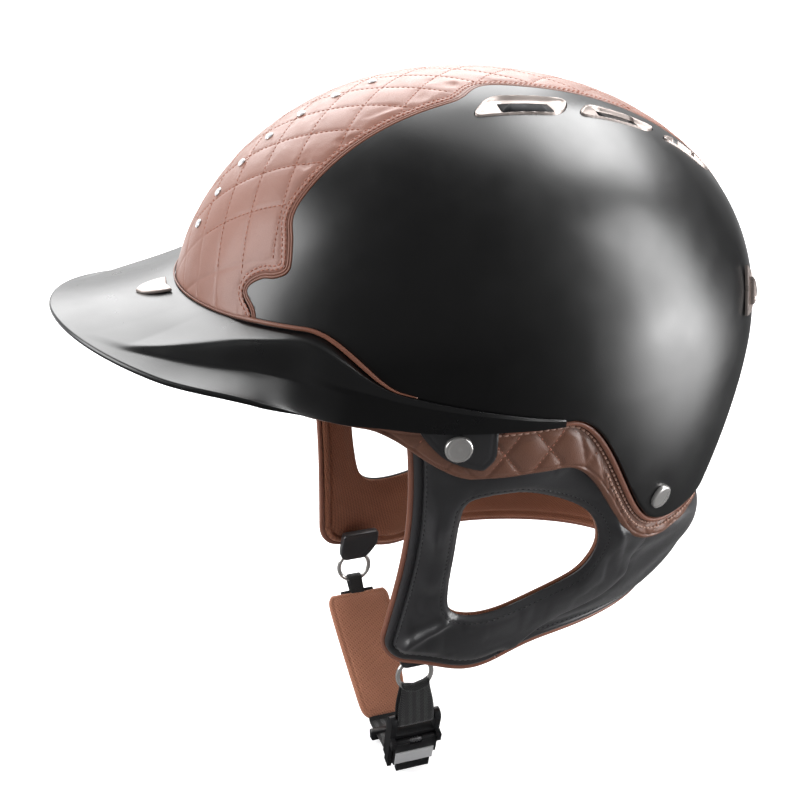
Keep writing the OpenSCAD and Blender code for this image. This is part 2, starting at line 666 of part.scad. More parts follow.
// frame at the lower wire of the right ring, turned so that the buckle lies along +X
module at_far_wire() { translate([-ring_side, ring_depth, ring_level - ring_radius]) children(); }
module at_buckle() { at_far_wire() rotate([0, buckle_fall, 0]) children(); }
function buckle_to_world(x, z) = [
    -ring_side + x*cos(buckle_fall) + z*sin(buckle_fall),
    ring_level - ring_radius - x*sin(buckle_fall) + z*cos(buckle_fall)];
bar_radius = 1.5;
bar_level = buckle_length/2 - bar_radius;
body_top = bar_level - bar_radius - 6;
arm_inside = webbing_width/2 + gap;
channel_top = -buckle_length/2 + plug_length + 1;
body_half = buckle_thickness/2;
pin_offset = body_half + 1.8;
pin_level = 2.5;
// webbing seen from the side: round ends and flat runs, in the X-Z plane
module webbing(width) {
    translate([0, ring_depth, 0]) rotate([90, 0, 0]) linear_extrude(width, center = true)
        children();
}
module webbing_run(a, b, thick) {
    translate(a) rotate(atan2(b[1] - a[1], b[0] - a[0])) translate([0, -thick/2])
        square([norm(b - a), thick]);
}
module webbing_end(a, radius) { translate(a) circle(r = radius); }
module webbing_bore(a, radius) {
    translate([a[0], ring_depth, a[1]]) rotate([90, 0, 0])
        cylinder(h = 2*webbing_width, r = radius, center = true);
}
near_wire = [ring_side, ring_level - ring_radius];
near_bar = buckle_to_world(buckle_reach, bar_level);
// part of a hoop about the right ring's wire, between two levels of the buckle frame
module arc_band(r0, r1, half_width_y, z0, z1) {
    intersection() {
        rotate([90, 0, 0]) rotate_extrude($fn = 120) translate([r0, -half_width_y])
            square([r1 - r0, 2*half_width_y]);
        translate([r0 - 20, -half_width_y - 1, z0])
            cube([r1 - r0 + 30, 2*half_width_y + 2, z1 - z0]);
    }
}
plug_base = 7;
plug_loop = webbing_thickness/2 + 1.4;
plug_low = -buckle_length/2 - gap - plug_base;
// chin pad frame: X along the strap from the far wire, Z up through the pad
pad_start = 8;
module at_chin() { at_far_wire() rotate([0, chin_pad_slope, 0]) children(); }
function along_chin(x) = [-ring_side + x*cos(chin_pad_slope),
    ring_level - ring_radius - x*sin(chin_pad_slope)];
chin_end = along_chin(pad_start + chin_pad_length + 3);
plug_bar = buckle_to_world(buckle_reach, plug_low + 2);
far_loop_width = 8;
far_sag = ring_radius - sqrt(ring_radius*ring_radius - far_loop_width*far_loop_width/4);
far_bore = ring_wire/2 + wire_gap + far_sag;

module outer_shell() color([0.07, 0.07, 0.08]) on_head() difference() {
    dome_wall(shell_size, grown(-shell_wall), function (a) rim(a));
    intersection() {
        layer(3, -recess_depth, 20);
        panel_prism(0, 0);
    }
    both_sides() vent_cuts(1);
    both_sides() rivet_hole(rear_rivet_angle, rear_rivet_level);
}
module crown_panel() color([0.45, 0.25, 0.2]) on_head() intersection() {
    layer(panel_thickness + gap - recess_depth, gap - recess_depth, 20);
    panel_prism(groove_width, -gap);
}
panel_cord_off = gap - recess_depth + panel_cord_radius;
panel_cord_path = [for (q = beside(panel_edge, groove_width/2)) let (
        z = dome_height(q[0], q[1], grown(panel_cord_off)))
    if (z > panel_front_level + 2 && (q[1] < 0 || z > panel_rear_level + 2)) [q[0], q[1], z]];
module panel_piping_left() color([0.36, 0.18, 0.13]) on_head()
    cord(panel_cord_path, [for (q = panel_cord_path) [0, 0, 1] + 0.02*q], panel_cord_radius);
module panel_piping_right() color([0.36, 0.18, 0.13]) right_side() panel_piping_left();
module crystals() color([0.9, 0.9, 0.92]) on_head()
    for (i = [0:crystal_count - 1]) let (
            p = crystal_first + i*crystal_step,
            at = dome(-90, p, grown(panel_thickness + gap - recess_depth + gap)),
            lean = atan2(-at[1]/pow(front_length, 2), at[2]/pow(crown_height, 2)))
        translate(at) rotate([lean, 0, 0]) {
            cylinder(h = 0.6, d = crystal_diameter);
            translate([0, 0, 0.6]) cylinder(h = 0.9, d1 = crystal_diameter,
                d2 = 0.55*crystal_diameter);
        }
module brim() color([0.08, 0.08, 0.09]) on_head()
    loft([for (a = brim_columns) brim_section(a)]);
brim_cord_angles = [for (i = [0:28]) mix(-180 + 22, -22, i/28)];
brim_cord_path = [for (a = brim_cord_angles) dome_at(a, brim_root(a)
    + (brim_cord_radius + 0.8)*steepness(a, function (b) brim_root(b)),
    grown(brim_cord_radius + gap + 0.1))];
module brim_piping() color([0.36, 0.18, 0.13]) on_head()
    cord(brim_cord_path, [for (a = brim_cord_angles) outward(a)], brim_cord_radius);
// shield with a slightly hollow top edge and bowed sides that meet in a tip
function shield(w, l) = let (
        side = [for (q = curve([[w, 0], [0.88*w, -0.45*l], [0.5*w, -0.82*l], [0, -l]], 3)) q],
        top = curve([[-w, 0], [-0.5*w, -0.03*l], [0, -0.07*l], [0.5*w, -0.03*l], [w, 0]], 2))
    concat(top, [for (i = [1:len(side) - 1]) side[i]],
        [for (i = [len(side) - 2:-1:1]) [-side[i][0], side[i][1]]]);
module front_badge() color([0.8, 0.75, 0.72]) on_head() {
    y0 = dome_at(-90, brim_root_level, grown(gap))[1] - 2*brim_cord_radius - 1.2;
    slope = atan2(1.6*(brim_root_level - brim_tip_level), brim_reach - front_length);
    translate([0, y0, brim_root_level + gap + 0.1 - 0.1*(brim_root_level - brim_tip_level)])
        rotate([slope, 0, 0]) linear_extrude(shield_thickness)
            polygon(shield(shield_half_width, shield_length));
}
module rear_badges() color([0.8, 0.75, 0.72]) on_head() both_sides()
    at_shell(rear_badge_angle, rear_badge_level) rotate([0, 0, 90 - rear_badge_turn])
        translate([0, rear_badge_length/2, gap]) {
            linear_extrude(rear_badge_thickness)
                polygon(shield(rear_badge_half_width, rear_badge_length));
            translate([0, -0.17*rear_badge_length, 0])
                linear_extrude(rear_badge_thickness + rear_badge_relief)
                    polygon(shield(0.55*rear_badge_half_width, 0.5*rear_badge_length));
        }
module vent_bezel_front_left() color([0.8, 0.72, 0.7]) on_head() bezel(vent_front);
module vent_bezel_mid_left() color([0.8, 0.72, 0.7]) on_head() bezel(vent_mid);
module vent_bezel_rear_left() color([0.8, 0.72, 0.7]) on_head() bezel(vent_rear);
module vent_bezel_front_right() color([0.8, 0.72, 0.7]) right_side() vent_bezel_front_left();
module vent_bezel_mid_right() color([0.8, 0.72, 0.7]) right_side() vent_bezel_mid_left();
module vent_bezel_rear_right() color([0.8, 0.72, 0.7]) right_side() vent_bezel_rear_left();
module vent_screen_left() color([0.05, 0.05, 0.05]) on_head() intersection() {
    vent_patch(-screen_depth, -screen_depth - screen_thickness);
    for (v = [vent_front, vent_mid, vent_rear]) on_plan(bigger(slot_of(v), 0.7));
}
module vent_screen_right() color([0.05, 0.05, 0.05]) right_side() vent_screen_left();
// the liner's facets need a little more room than flat faces would
liner_skin = -shell_wall - gap - 0.5;
module impact_liner() color([0.16, 0.16, 0.17]) on_head() difference() {
    dome_wall(grown(liner_skin), liner_size, function (a) liner_rim(a));
    both_sides() vent_cuts(1);
    // notches for the inner ends of the rear rivets
    both_sides() at_shell(rear_rivet_angle, rear_rivet_level) translate([0, 0, -through/8])
        cylinder(h = through/8, d = rivet_head + 2);
}
band_rows = [0, 0.18, 0.5, 0.82, 1];
module head_band() {
    size = [for (v = liner_size) v - gap - 2*facet_room];
    function low(a) = liner_rim(a) + 1;
    function z(a, t) = low(a) + band_height*t;
    function thick(t) = 1.4 + (pad_thickness - 1.4)*sqrt(max(0, 1 - pow(abs(2*t - 1), 3)));
    color([0.38, 0.24, 0.17]) on_head()
    skin([for (t = band_rows) [for (a = columns) dome_at(a, z(a, t), size)]],
         [for (t = band_rows) [for (a = columns)
            dome_at(a, z(a, t), [for (v = size) v - thick(t)])]], true);
}
module crown_pad() {
    size = [for (v = liner_size) v - gap - facet_room];
    cols = [for (i = [0:23]) i*15 - 90];
    function p(t) = mix(90 - crown_pad_angle, last_ring + 2, t);
    function thick(t) = mix(1.4, pad_thickness - gap, sqrt(1 - pow(1 - t, 3)));
    color([0.38, 0.24, 0.17]) on_head()
    bowl([for (t = [0, 0.25, 0.6, 1]) [for (a = cols) dome(a, p(t), size)]],
         [for (t = [0, 0.25, 0.6, 1]) [for (a = cols)
            dome(a, p(t), [for (v = size) v - thick(t)])]],
         [0, 0, size[3]], [0, 0, head_top]);
}
// level of the skirt, with a row of its own just below the shell rim
function skirt_level(a, t) = t < 0.5 ? mix(skirt_bottom(a), rim(a) - 1, 2*t)
    : mix(rim(a) - 1, skirt_top(a), 2*t - 1);
skirt_rows = [0, 0.1, 0.5, 1];
module skirt() color([0.3, 0.17, 0.12]) on_head() difference() {
    skin([for (t = skirt_rows) [for (a = columns) dome_at(a, skirt_level(a, t),
            grown(-skirt_outside - (t == 0 ? 0.8 : 0)))]],
         [for (t = skirt_rows) [for (a = columns) dome_at(a, skirt_level(a, t),
            grown(-skirt_outside - skirt_thickness + (t == 0 ? 0.6 : 0)))]], true);
    all_rivet_holes();
}
welt_angles = [for (i = [0:46]) mix(-6, 186, i/46)];
module skirt_welt() {
    color([0.36, 0.18, 0.13]) on_head()
    cord([for (a = welt_angles) dome_at(a,
            rim(a) - (welt_radius + gap)*steepness(a, function (b) rim(b)),
            grown(welt_radius - shell_wall))],
        [for (a = welt_angles) outward(a)], welt_radius);
}
module flap_left() color([0.06, 0.06, 0.065]) on_head() difference() {
    flap_layer(0, leather_thickness);
    ear_cut();
    all_rivet_holes();
}
module flap_right() color([0.06, 0.06, 0.065]) right_side() flap_left();
module flap_lining_left() color([0.4, 0.25, 0.17]) on_head() difference() {
    flap_layer(lining_from, lining_to);
    ear_cut();
    all_rivet_holes();
}
module flap_lining_right() color([0.4, 0.25, 0.17]) right_side() flap_lining_left();
module flap_piping_left() color([0.36, 0.18, 0.13]) on_head()
    cord(edge_path(flap_edge_points, flap_edge_angles),
        [for (a = flap_edge_angles) outward(a)], edge_cord_radius);
module flap_piping_right() color([0.36, 0.18, 0.13]) right_side() flap_piping_left();
module neck_band() color([0.06, 0.06, 0.065]) on_head() neck_layer(0, leather_thickness);
module neck_lining() color([0.4, 0.25, 0.17]) on_head() neck_layer(lining_from, lining_to);
module neck_piping() color([0.36, 0.18, 0.13]) on_head()
    cord(edge_path(neck_edge_points, neck_edge_angles),
        [for (a = neck_edge_angles) outward(a)], edge_cord_radius);
module anchor_tab_left() color([0.05, 0.05, 0.05]) on_head() anchor_tab();
module anchor_tab_right() color([0.05, 0.05, 0.05]) right_side() anchor_tab_left();
module front_rivets() color([0.75, 0.74, 0.74]) on_head() both_sides()
    rivet(front_rivet_angle, front_rivet_level, tab_thickness - shell_wall);
module rear_rivets() color([0.75, 0.74, 0.74]) on_head() both_sides()
    rivet(rear_rivet_angle, rear_rivet_level, 0);
module ring_tab_left() color([0.05, 0.05, 0.05]) on_head() ring_tab();
module ring_tab_right() color([0.05, 0.05, 0.05]) right_side() ring_tab_left();
module ring_left() color([0.8, 0.78, 0.78]) on_head() at_ring() ring_body(ring_wire/2);
module ring_right() color([0.8, 0.78, 0.78]) right_side() ring_left();
module buckle_webbing() color([0.05, 0.05, 0.05]) on_head() difference() {
    webbing(2*arm_inside - 2*gap) {
        webbing_end(near_wire, ring_wire/2 + wire_gap + 1.4);
        webbing_end(near_bar, bar_radius + gap + 1.2);
        webbing_run(near_wire, near_bar, 2*webbing_thickness);
    }
    at_ring() ring_body(ring_wire/2 + wire_gap);
    webbing_bore(near_bar, bar_radius + gap);
}
module buckle_body() color([0.05, 0.05, 0.055]) on_head() at_buckle() {
    difference() {
        translate([buckle_reach - body_half, -buckle_width/2, -buckle_length/2])
            cube([buckle_thickness, buckle_width, buckle_length/2 + body_top]);
        arc_band(buckle_reach - plug_thickness/2 - plug_gap,
            buckle_reach + plug_thickness/2 + plug_gap + tooth_height,
            plug_width/2 + plug_gap, -buckle_length/2 - 1, channel_top);
        // window for the pawl
        translate([buckle_reach, -6, -9]) cube([body_half + 1, 12, 9.5]);
    }
    for (s = [-1, 1]) {
        // arms that carry the webbing bar
        translate([buckle_reach - body_half, s > 0 ? arm_inside : -buckle_width/2, body_top - 0.5])
            cube([buckle_thickness, buckle_width/2 - arm_inside, bar_level - body_top + 0.5]);
        translate([buckle_reach, s > 0 ? arm_inside : -arm_inside, bar_level])
            rotate([s > 0 ? -90 : 90, 0, 0])
                cylinder(h = buckle_width/2 - arm_inside, r = body_half);
        // ears of the lever pin
        difference() {
            translate([buckle_reach + body_half - 0.5,
                s > 0 ? buckle_width/2 - 2.4 : -buckle_width/2, pin_level - 2.6])
                cube([pin_offset - body_half + 2.8, 2.4, 5.2]);
            translate([buckle_reach + pin_offset, 0, pin_level]) rotate([90, 0, 0])
                cylinder(h = buckle_width + 2, d = lever_pin_diameter + 2*0.01, center = true);
        }
    }
    translate([buckle_reach, 0, bar_level]) rotate([90, 0, 0])
        cylinder(h = 2*arm_inside + 1, r = bar_radius, center = true);
}
lever_half = buckle_width/2 - 2.4 - gap;
lever_face = body_half + gap;
module buckle_lever() color([0.06, 0.06, 0.065]) on_head() at_buckle() difference() {
    union() {
        translate([buckle_reach + pin_offset, 0, pin_level]) rotate([90, 0, 0])
            cylinder(h = 2*lever_half, r = pin_offset - body_half - gap, center = true);
        translate([buckle_reach + lever_face, -lever_half, -buckle_length/2 - 1])
            cube([lever_thickness, 2*lever_half, buckle_length/2 + 1 + pin_level]);
        // thumb tab
        translate([buckle_reach + lever_face + 0.3, -9, -buckle_length/2 - 6])
            cube([lever_thickness + 0.6, 18, 6]);
        // pawl, just clear of the teeth
        translate([buckle_reach + plug_thickness/2 + tooth_height + gap, -5, -6.5])
            cube([lever_face - plug_thickness/2 - tooth_height - gap + 0.5, 10, 4]);
    }
    translate([buckle_reach + pin_offset, 0, pin_level]) rotate([90, 0, 0])
        cylinder(h = buckle_width + 2, d = lever_pin_diameter + 2*pin_gap, center = true);
    // room for the spring
    translate([buckle_reach + pin_offset, 0, pin_level]) rotate([90, 0, 0])
        cylinder(h = 6.4, r = 2.9, center = true);
    // clearance to the body above the pawl
    translate([buckle_reach - 3, -lever_half - 1, -2.4]) cube([3 + body_half + gap,
        2*lever_half + 2, 12]);
}
plate_low = -buckle_length/2 + 0.5;
module lever_plate() color([0.75, 0.75, 0.76]) on_head() at_buckle()
    translate([buckle_reach + lever_face + lever_thickness, -lever_half + 0.4, plate_low])
        cube([0.8, 2*lever_half - 0.8, 9]);
module lever_pin() color([0.7, 0.7, 0.7]) on_head() at_buckle()
    translate([buckle_reach + pin_offset, 0, pin_level]) rotate([90, 0, 0])
        cylinder(h = buckle_width - 0.4, d = lever_pin_diameter, center = true);
spring_wire = 0.4;
spring_radius = lever_pin_diameter/2 + 0.15 + spring_wire/2;
spring_curls = 3;
spring_path = [for (i = [0:spring_curls*8]) let (a = i*45)
    [spring_radius*cos(a), -2 + 4*i/(spring_curls*8), spring_radius*sin(a)]];
module lever_spring() color([0.6, 0.6, 0.62]) on_head() at_buckle()
    translate([buckle_reach + pin_offset, 0, pin_level])
        cord(spring_path, [for (q = spring_path) [q[0], 0, q[2]]], spring_wire/2);
module chin_pad() {
    us = [0, 0.03, 0.12, 0.3, 0.5, 0.7, 0.88, 0.97, 1];
    vs = [-1, -0.93, -0.75, -0.4, 0, 0.4, 0.75, 0.93, 1];
    function half(u, v) = 0.7 + (chin_pad_thickness/2 - 0.7)
        *sqrt(max(0, 1 - pow(abs(v), 3)))*sqrt(max(0, 1 - pow(abs(2*u - 1), 6)));
    function at(u, v, s) = [pad_start + chin_pad_length*u,
        v*(mix(chin_pad_width, chin_pad_low_width, pow(u, 1.3)) - 2*pow(abs(2*u - 1), 8))/2,
        s*half(u, v)];
    color([0.4, 0.25, 0.17]) on_head() at_chin() difference() {
        skin([for (v = vs) [for (u = us) at(u, v, 1)]],
            [for (v = vs) [for (u = us) at(u, v, -1)]], false);
        translate([pad_start - 1, -webbing_width/2 - gap, -webbing_thickness/2 - gap])
            cube([chin_pad_length + 2, webbing_width + 2*gap, webbing_thickness + 2*gap]);
    }
}
module chin_webbing() color([0.05, 0.05, 0.05]) on_head() difference() {
    union() {
        // narrow tail that loops round the wire
        webbing(far_loop_width) {
            webbing_end(along_chin(0), far_bore + 1);
            webbing_run(along_chin(0), along_chin(pad_start), webbing_thickness - 0.2);
        }
        webbing(webbing_width) {
            webbing_run(along_chin(pad_start - 1.5), chin_end, webbing_thickness);
            webbing_end(chin_end, webbing_thickness/2 + 0.2);
            webbing_run(chin_end, plug_bar, webbing_thickness);
            webbing_end(plug_bar, plug_loop);
        }
    }
    webbing_bore(along_chin(0), far_bore);
    webbing_bore(plug_bar, 1.2 + gap);
}
slider_at = 0.3;
module strap_slider() color([0.05, 0.05, 0.05]) on_head() {
    d = plug_bar - chin_end;
    translate([chin_end[0] + slider_at*d[0], ring_depth, chin_end[1] + slider_at*d[1]])
        rotate([0, -atan2(d[1], d[0]), 0]) difference() {
            cube([4, webbing_width + 6, webbing_thickness + 3], center = true);
            cube([6, webbing_width + 2*gap, webbing_thickness + 2*gap], center = true);
        }
}
module buckle_plug() color([0.07, 0.07, 0.075]) on_head() at_buckle() {
    arc_band(buckle_reach - plug_thickness/2, buckle_reach + plug_thickness/2, plug_width/2,
        -buckle_length/2 - gap - 0.5, -buckle_length/2 + plug_length);
    // ratchet teeth on the outer face, across the tongue
    for (i = [0:floor((plug_length - 4)/tooth_pitch)]) let (
            z = -buckle_length/2 + 3 + i*tooth_pitch,
            x = sqrt(pow(buckle_reach + plug_thickness/2, 2) - z*z))
        translate([x - 0.15, 5, z]) rotate([90, 0, 0]) linear_extrude(10)
            polygon([[0, 0], [tooth_height + 0.1, 0.2], [0, tooth_pitch*0.85]]);
    // base with the bar that the webbing loops round
    translate([buckle_reach - 2.8, -webbing_width/2 - 2.5, plug_low + 2 + plug_loop + gap])
        cube([5.6, webbing_width + 5, plug_base - 2 - plug_loop - gap]);
    for (s = [-1, 1]) translate([buckle_reach - 2.8,
            s > 0 ? webbing_width/2 + gap : -webbing_width/2 - 2.5, plug_low + 0.5])
        cube([5.6, 2.5 - gap, plug_base - 1]);
    translate([buckle_reach, 0, plug_low + 2]) rotate([90, 0, 0])
        cylinder(h = webbing_width + 3, r = 1.2, center = true);
}

outer_shell();
crown_panel();
panel_piping_left();
panel_piping_right();
crystals();
brim();
brim_piping();
front_badge();
rear_badges();
vent_bezel_front_left();
vent_bezel_mid_left();
vent_bezel_rear_left();
vent_bezel_front_right();
vent_bezel_mid_right();
vent_bezel_rear_right();
vent_screen_left();
vent_screen_right();
impact_liner();
head_band();
crown_pad();
skirt();
skirt_welt();
flap_left();
flap_right();
flap_lining_left();
flap_lining_right();
flap_piping_left();
flap_piping_right();
neck_band();
neck_lining();
neck_piping();
anchor_tab_left();
anchor_tab_right();
front_rivets();
rear_rivets();
ring_tab_left();
ring_tab_right();
ring_left();
ring_right();
buckle_webbing();
buckle_body();
buckle_lever();
lever_plate();
lever_pin();
lever_spring();
chin_pad();
chin_webbing();
strap_slider();
buckle_plug();
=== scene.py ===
import math

import bpy
import numpy as np
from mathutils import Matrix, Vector


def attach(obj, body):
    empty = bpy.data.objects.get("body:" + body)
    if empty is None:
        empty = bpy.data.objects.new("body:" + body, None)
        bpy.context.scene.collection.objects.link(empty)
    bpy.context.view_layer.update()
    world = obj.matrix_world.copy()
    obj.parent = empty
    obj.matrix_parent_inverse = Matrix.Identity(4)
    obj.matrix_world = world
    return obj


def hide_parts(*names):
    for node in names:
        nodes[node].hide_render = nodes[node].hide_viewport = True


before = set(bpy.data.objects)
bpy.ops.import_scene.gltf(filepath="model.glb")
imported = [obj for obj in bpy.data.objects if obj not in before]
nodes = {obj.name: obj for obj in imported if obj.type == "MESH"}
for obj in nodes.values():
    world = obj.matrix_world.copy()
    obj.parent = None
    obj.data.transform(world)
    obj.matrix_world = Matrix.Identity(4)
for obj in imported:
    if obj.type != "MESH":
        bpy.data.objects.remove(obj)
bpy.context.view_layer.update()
scene = bpy.context.scene

# Camera
TARGET = Vector((0, -0.02417, -0.13051))
BACK = Vector((0.8658, -0.2907, 0.4074)).normalized()
cam = bpy.data.objects.new("camera", bpy.data.cameras.new("camera"))
scene.collection.objects.link(cam)
cam.location = TARGET + BACK * 0.6088
cam.rotation_mode = "QUATERNION"
cam.rotation_quaternion = (-BACK).to_track_quat("-Z", "Y")
cam.data.lens = 54.21
cam.data.sensor_width = 36
cam.data.clip_start = 0.02
cam.data.clip_end = 40
scene.camera = cam

# Form of the helmet, in mm: heights are from its widest level, plan angles in degrees from +X
SEAT = 93.0  # height of the head seat, the origin of the frame
PN, PM = 2.03, 2.09  # powers of the plan outline and of the profile
W, F, R, H = 112.0, 135.5, 159.0, 124.5  # half width, front length, rear length, height
DROP = 92.0  # depth over which the wall tucks in
SKIRT_OUT, SKIRT_IN = 3.5, 8.0  # skirt's outer and inner face, inside the shell's face
LINING_FROM, LINING_TO = 2.5, 5.1  # lining's faces, under the leather's face
FRONT_TOP, REAR_END = 34.3, 44.3  # heights at which the crown panel ends
PLATE_TOP = 200.0  # height to which cutting prisms reach


def metres(p):
    return (np.asarray(p, float) - [0, 0, SEAT]) * 0.001


def spow(v, e):
    return np.sign(v) * np.abs(v) ** e


def cosd(a):
    return np.cos(np.radians(a))


def sind(a):
    return np.sin(np.radians(a))


def mix(a, b, t):
    return a + (b - a) * t


def ramp(x, x0, x1):
    t = np.clip((np.asarray(x, float) - x0) / (x1 - x0), 0, 1)
    return t * t * (3 - 2 * t)


def bell(x, at, width):
    return np.exp(-((x - at) / width) ** 2)


def unit(v):
    return v / np.maximum(np.linalg.norm(v, axis=-1, keepdims=True), 1e-12)


def fold(a):
    """Plan angle folded to one side: -90 in front, 90 behind."""
    d = np.mod(np.asarray(a, float) + 90, 360)
    return np.where(d <= 180, d - 90, 270 - d)


def length_of(y):
    """Front or rear length, as y asks."""
    return np.where(y < 0, F, R)


def outline(a, w, f, r):
    return w * spow(cosd(a), 2 / PN), np.where(sind(a) < 0, f, r) * spow(sind(a), 2 / PN)


def tuck(a, z):
    """How far the wall is drawn in below the widest level."""
    s = np.abs(sind(a))
    amount = np.where(sind(a) < 0, 0.02, 0.137) * s + 0.06 * (1 - s)
    return 1 - amount * np.minimum(np.maximum(-z / DROP, 0), 0.86) ** 1.7


def dome(a, p, d=0.0, size=(W, F, R, H)):
    """Point at plan angle a and profile angle p, d outside the shell's face."""
    a, p, d = np.broadcast_arrays(np.asarray(a, float), np.asarray(p, float), np.asarray(d, float))
    x, y = outline(a, size[0] + d, size[1] + d, size[2] + d)
    up = p >= 0
    pp = np.clip(p, 0, 90)
    k = np.where(up, cosd(pp) ** (2 / PM), tuck(a, p * DROP / 90))
    z = np.where(up, (size[3] + d) * sind(pp) ** (2 / PM), p * DROP / 90)
    return np.stack([x * k, y * k, z], -1)


def profile_angle(z, d=0.0, height=H):
    z = np.asarray(z, float)
    up = np.clip(np.maximum(z, 0) / (height + d), 0, 1) ** (PM / 2)
    return np.where(z < 0, z * 90 / DROP, np.degrees(np.arcsin(up)))


def dome_at(a, z, d=0.0, size=(W, F, R, H)):
    """Point at plan angle a and height z, d outside the shell's face."""
    return dome(a, profile_angle(z, d, size[3]), d, size)


def plan_radius(x, y):
    return (np.abs(x / W) ** PN + np.abs(y / length_of(y)) ** PN) ** (1 / PN)


def dome_height(x, y):
    return H * np.maximum(0, 1 - plan_radius(x, y) ** PM) ** (1 / PM)


def on_dome(p):
    """The point of the dome on the ray from its centre through p."""
    r = plan_radius(p[..., 0], p[..., 1])
    return p / ((r ** PM + (np.maximum(p[..., 2], 0) / H) ** PM) ** (1 / PM))[..., None]


def top_normal(p):
    x, y, z = p[..., 0], p[..., 1], p[..., 2]
    l = length_of(y)
    ux, uy = np.abs(x) / W, np.abs(y) / l
    r = np.maximum((ux ** PN + uy ** PN) ** (1 / PN), 1e-6)
    g = r ** (PM - 1) * r ** (1 - PN)
    n = np.stack([g * ux ** (PN - 1) / W * np.sign(x), g * uy ** (PN - 1) / l * np.sign(y),
                  (np.maximum(z, 0) / H) ** (PM - 1) / H], -1)
    return unit(n)


def outward(a):
    """Level direction out of the wall at a plan angle."""
    l = np.where(sind(a) < 0, F, R)
    return unit(np.stack([spow(cosd(a), 2 - 2 / PN) / W, spow(sind(a), 2 - 2 / PN) / l,
                          np.zeros_like(np.asarray(a, float))], -1))


def plan_angle(p):
    return np.degrees(np.arctan2(p[:, 1], p[:, 0]))


def fall(a):
    """Share of the rim's fall behind the ear."""
    f = fold(a)
    return np.where(f <= 5, 0, 1 - np.exp(-(np.maximum(f - 5, 0) / 15) ** 2.2))


def rim(a):
    """Height of the shell's lower edge."""
    f = fold(a)
    return np.where(f < 0, mix(-6, 8, sind(-f) ** 2), mix(-6, -78, fall(a)))


def skirt_top(a):
    return rim(a) + 14


def skirt_bottom(a):
    f = fold(a)
    return rim(a) - np.where(f > 0, mix(25, 12.5, fall(a)), mix(4, 25, ramp(f, -32, -11)))


def harness_low(a):
    return -149 - 9 * bell(fold(a), -4, 11)


LATTICE = np.random.default_rng(7).random((32, 32, 32)) * 2 - 1


def noise(p, scale):
    """Smooth noise in space, from a fixed lattice."""
    q = np.asarray(p, float) / scale + 100
    i = np.floor(q).astype(int)
    f = q - i
    f = f * f * (3 - 2 * f)
    cell, share = (i % 32, (i + 1) % 32), (1 - f, f)
    out = 0
    for dx in (0, 1):
        for dy in (0, 1):
            for dz in (0, 1):
                w = share[dx][..., 0] * share[dy][..., 1] * share[dz][..., 2]
                out = out + w * LATTICE[cell[dx][..., 0], cell[dy][..., 1], cell[dz][..., 2]]
    return out


# Lines and outlines
def spline(p, steps, closed=False):
    """Smooth curve through points."""
    p = np.asarray(p, float)
    n = len(p)
    out = []
    for i in range(n if closed else n - 1):
        a, b, c, d = (p[k % n if closed else min(max(k, 0), n - 1)] for k in range(i - 1, i + 3))
        for k in range(steps):
            t = k / steps
            out.append(0.5 * (2 * b + (c - a) * t + (2 * a - 5 * b + 4 * c - d) * t * t
                              + (3 * b - a - 3 * c + d) * t ** 3))
    if not closed:
        out.append(p[-1])
    return np.array(out)


def rounded(poly, radius, steps=6):
    """Closed outline with rounded corners."""
    out = []
    for i in range(len(poly)):
        p, a, b = poly[i], poly[i - 1], poly[(i + 1) % len(poly)]
        r = min(radius, 0.45 * np.linalg.norm(a - p), 0.45 * np.linalg.norm(b - p))
        s, e = p + unit(a - p) * r, p + unit(b - p) * r
        for t in np.arange(steps + 1) / steps:
            out.append((1 - t) ** 2 * s + 2 * t * (1 - t) * p + t * t * e)
    return np.array(out)


def grow(poly, d):
    return poly + d * unit(poly - poly.mean(0))


def run_length(path):
    """Length of a polyline up to each of its points."""
    return np.concatenate([[0], np.cumsum(np.linalg.norm(np.diff(path, axis=0), axis=1))])


def at_lengths(path, s, at):
    return np.stack([np.interp(at, s, path[:, k]) for k in range(path.shape[1])], -1)


def walk(path, pitch, start=0.0, ends=False):
    """Points and directions along a polyline at equal steps."""
    path = np.asarray(path, float)
    s = run_length(path)
    at = np.arange(start + pitch / 2, s[-1] - pitch * 0.3, pitch)
    if ends:
        at = np.concatenate([[0], at, [s[-1]]])
    if not len(at):
        return np.zeros((0, 3)), np.zeros((0, 3))
    p, after, before = (at_lengths(path, s, at + d) for d in (0, 0.2, -0.2))
    return p, unit(after - before)


def smoothed(p, times):
    for _ in range(times):
        p[1:-1] = (p[:-2] + 2 * p[1:-1] + p[2:]) / 4
    return p


def distance_to(points, line, closed=False):
    """Distance of points (..., k) to a polyline (n, k)."""
    a = line if closed else line[:-1]
    b = np.roll(line, -1, axis=0) if closed else line[1:]
    q = points.reshape(-1, points.shape[-1])
    best = np.full(len(q), 1e9)
    for s, e in zip(a, b):
        d = e - s
        t = np.clip((q - s) @ d / max(d @ d, 1e-12), 0, 1)
        best = np.minimum(best, np.linalg.norm(q - s - t[:, None] * d, axis=1))
    return best.reshape(points.shape[:-1])


def inside(points, poly):
    x, y = points[..., 0], points[..., 1]
    res = np.zeros(x.shape, bool)
    for (x0, y0), (x1, y1) in zip(poly, np.roll(poly, -1, axis=0)):
        if y0 != y1:
            res ^= ((y0 > y) != (y1 > y)) & (x < (x1 - x0) * (y - y0) / (y1 - y0) + x0)
    return res


# Mesh helpers
def flip_faces(faces):
    return [list(f)[::-1] for f in faces]


def mirror(v):
    return np.asarray(v) * [-1, 1, 1]


def faced(v, faces):
    """The same solid with its faces turned outwards."""
    f = np.array([q[:3] for q in faces[:: max(1, len(faces) // 4000)]])
    a, b, d = (v[f[:, k]] - v.mean(0) for k in range(3))
    turned_in = np.sum(np.einsum("ij,ij->i", a, np.cross(b, d))) < 0
    return v, (flip_faces(faces) if turned_in else faces)


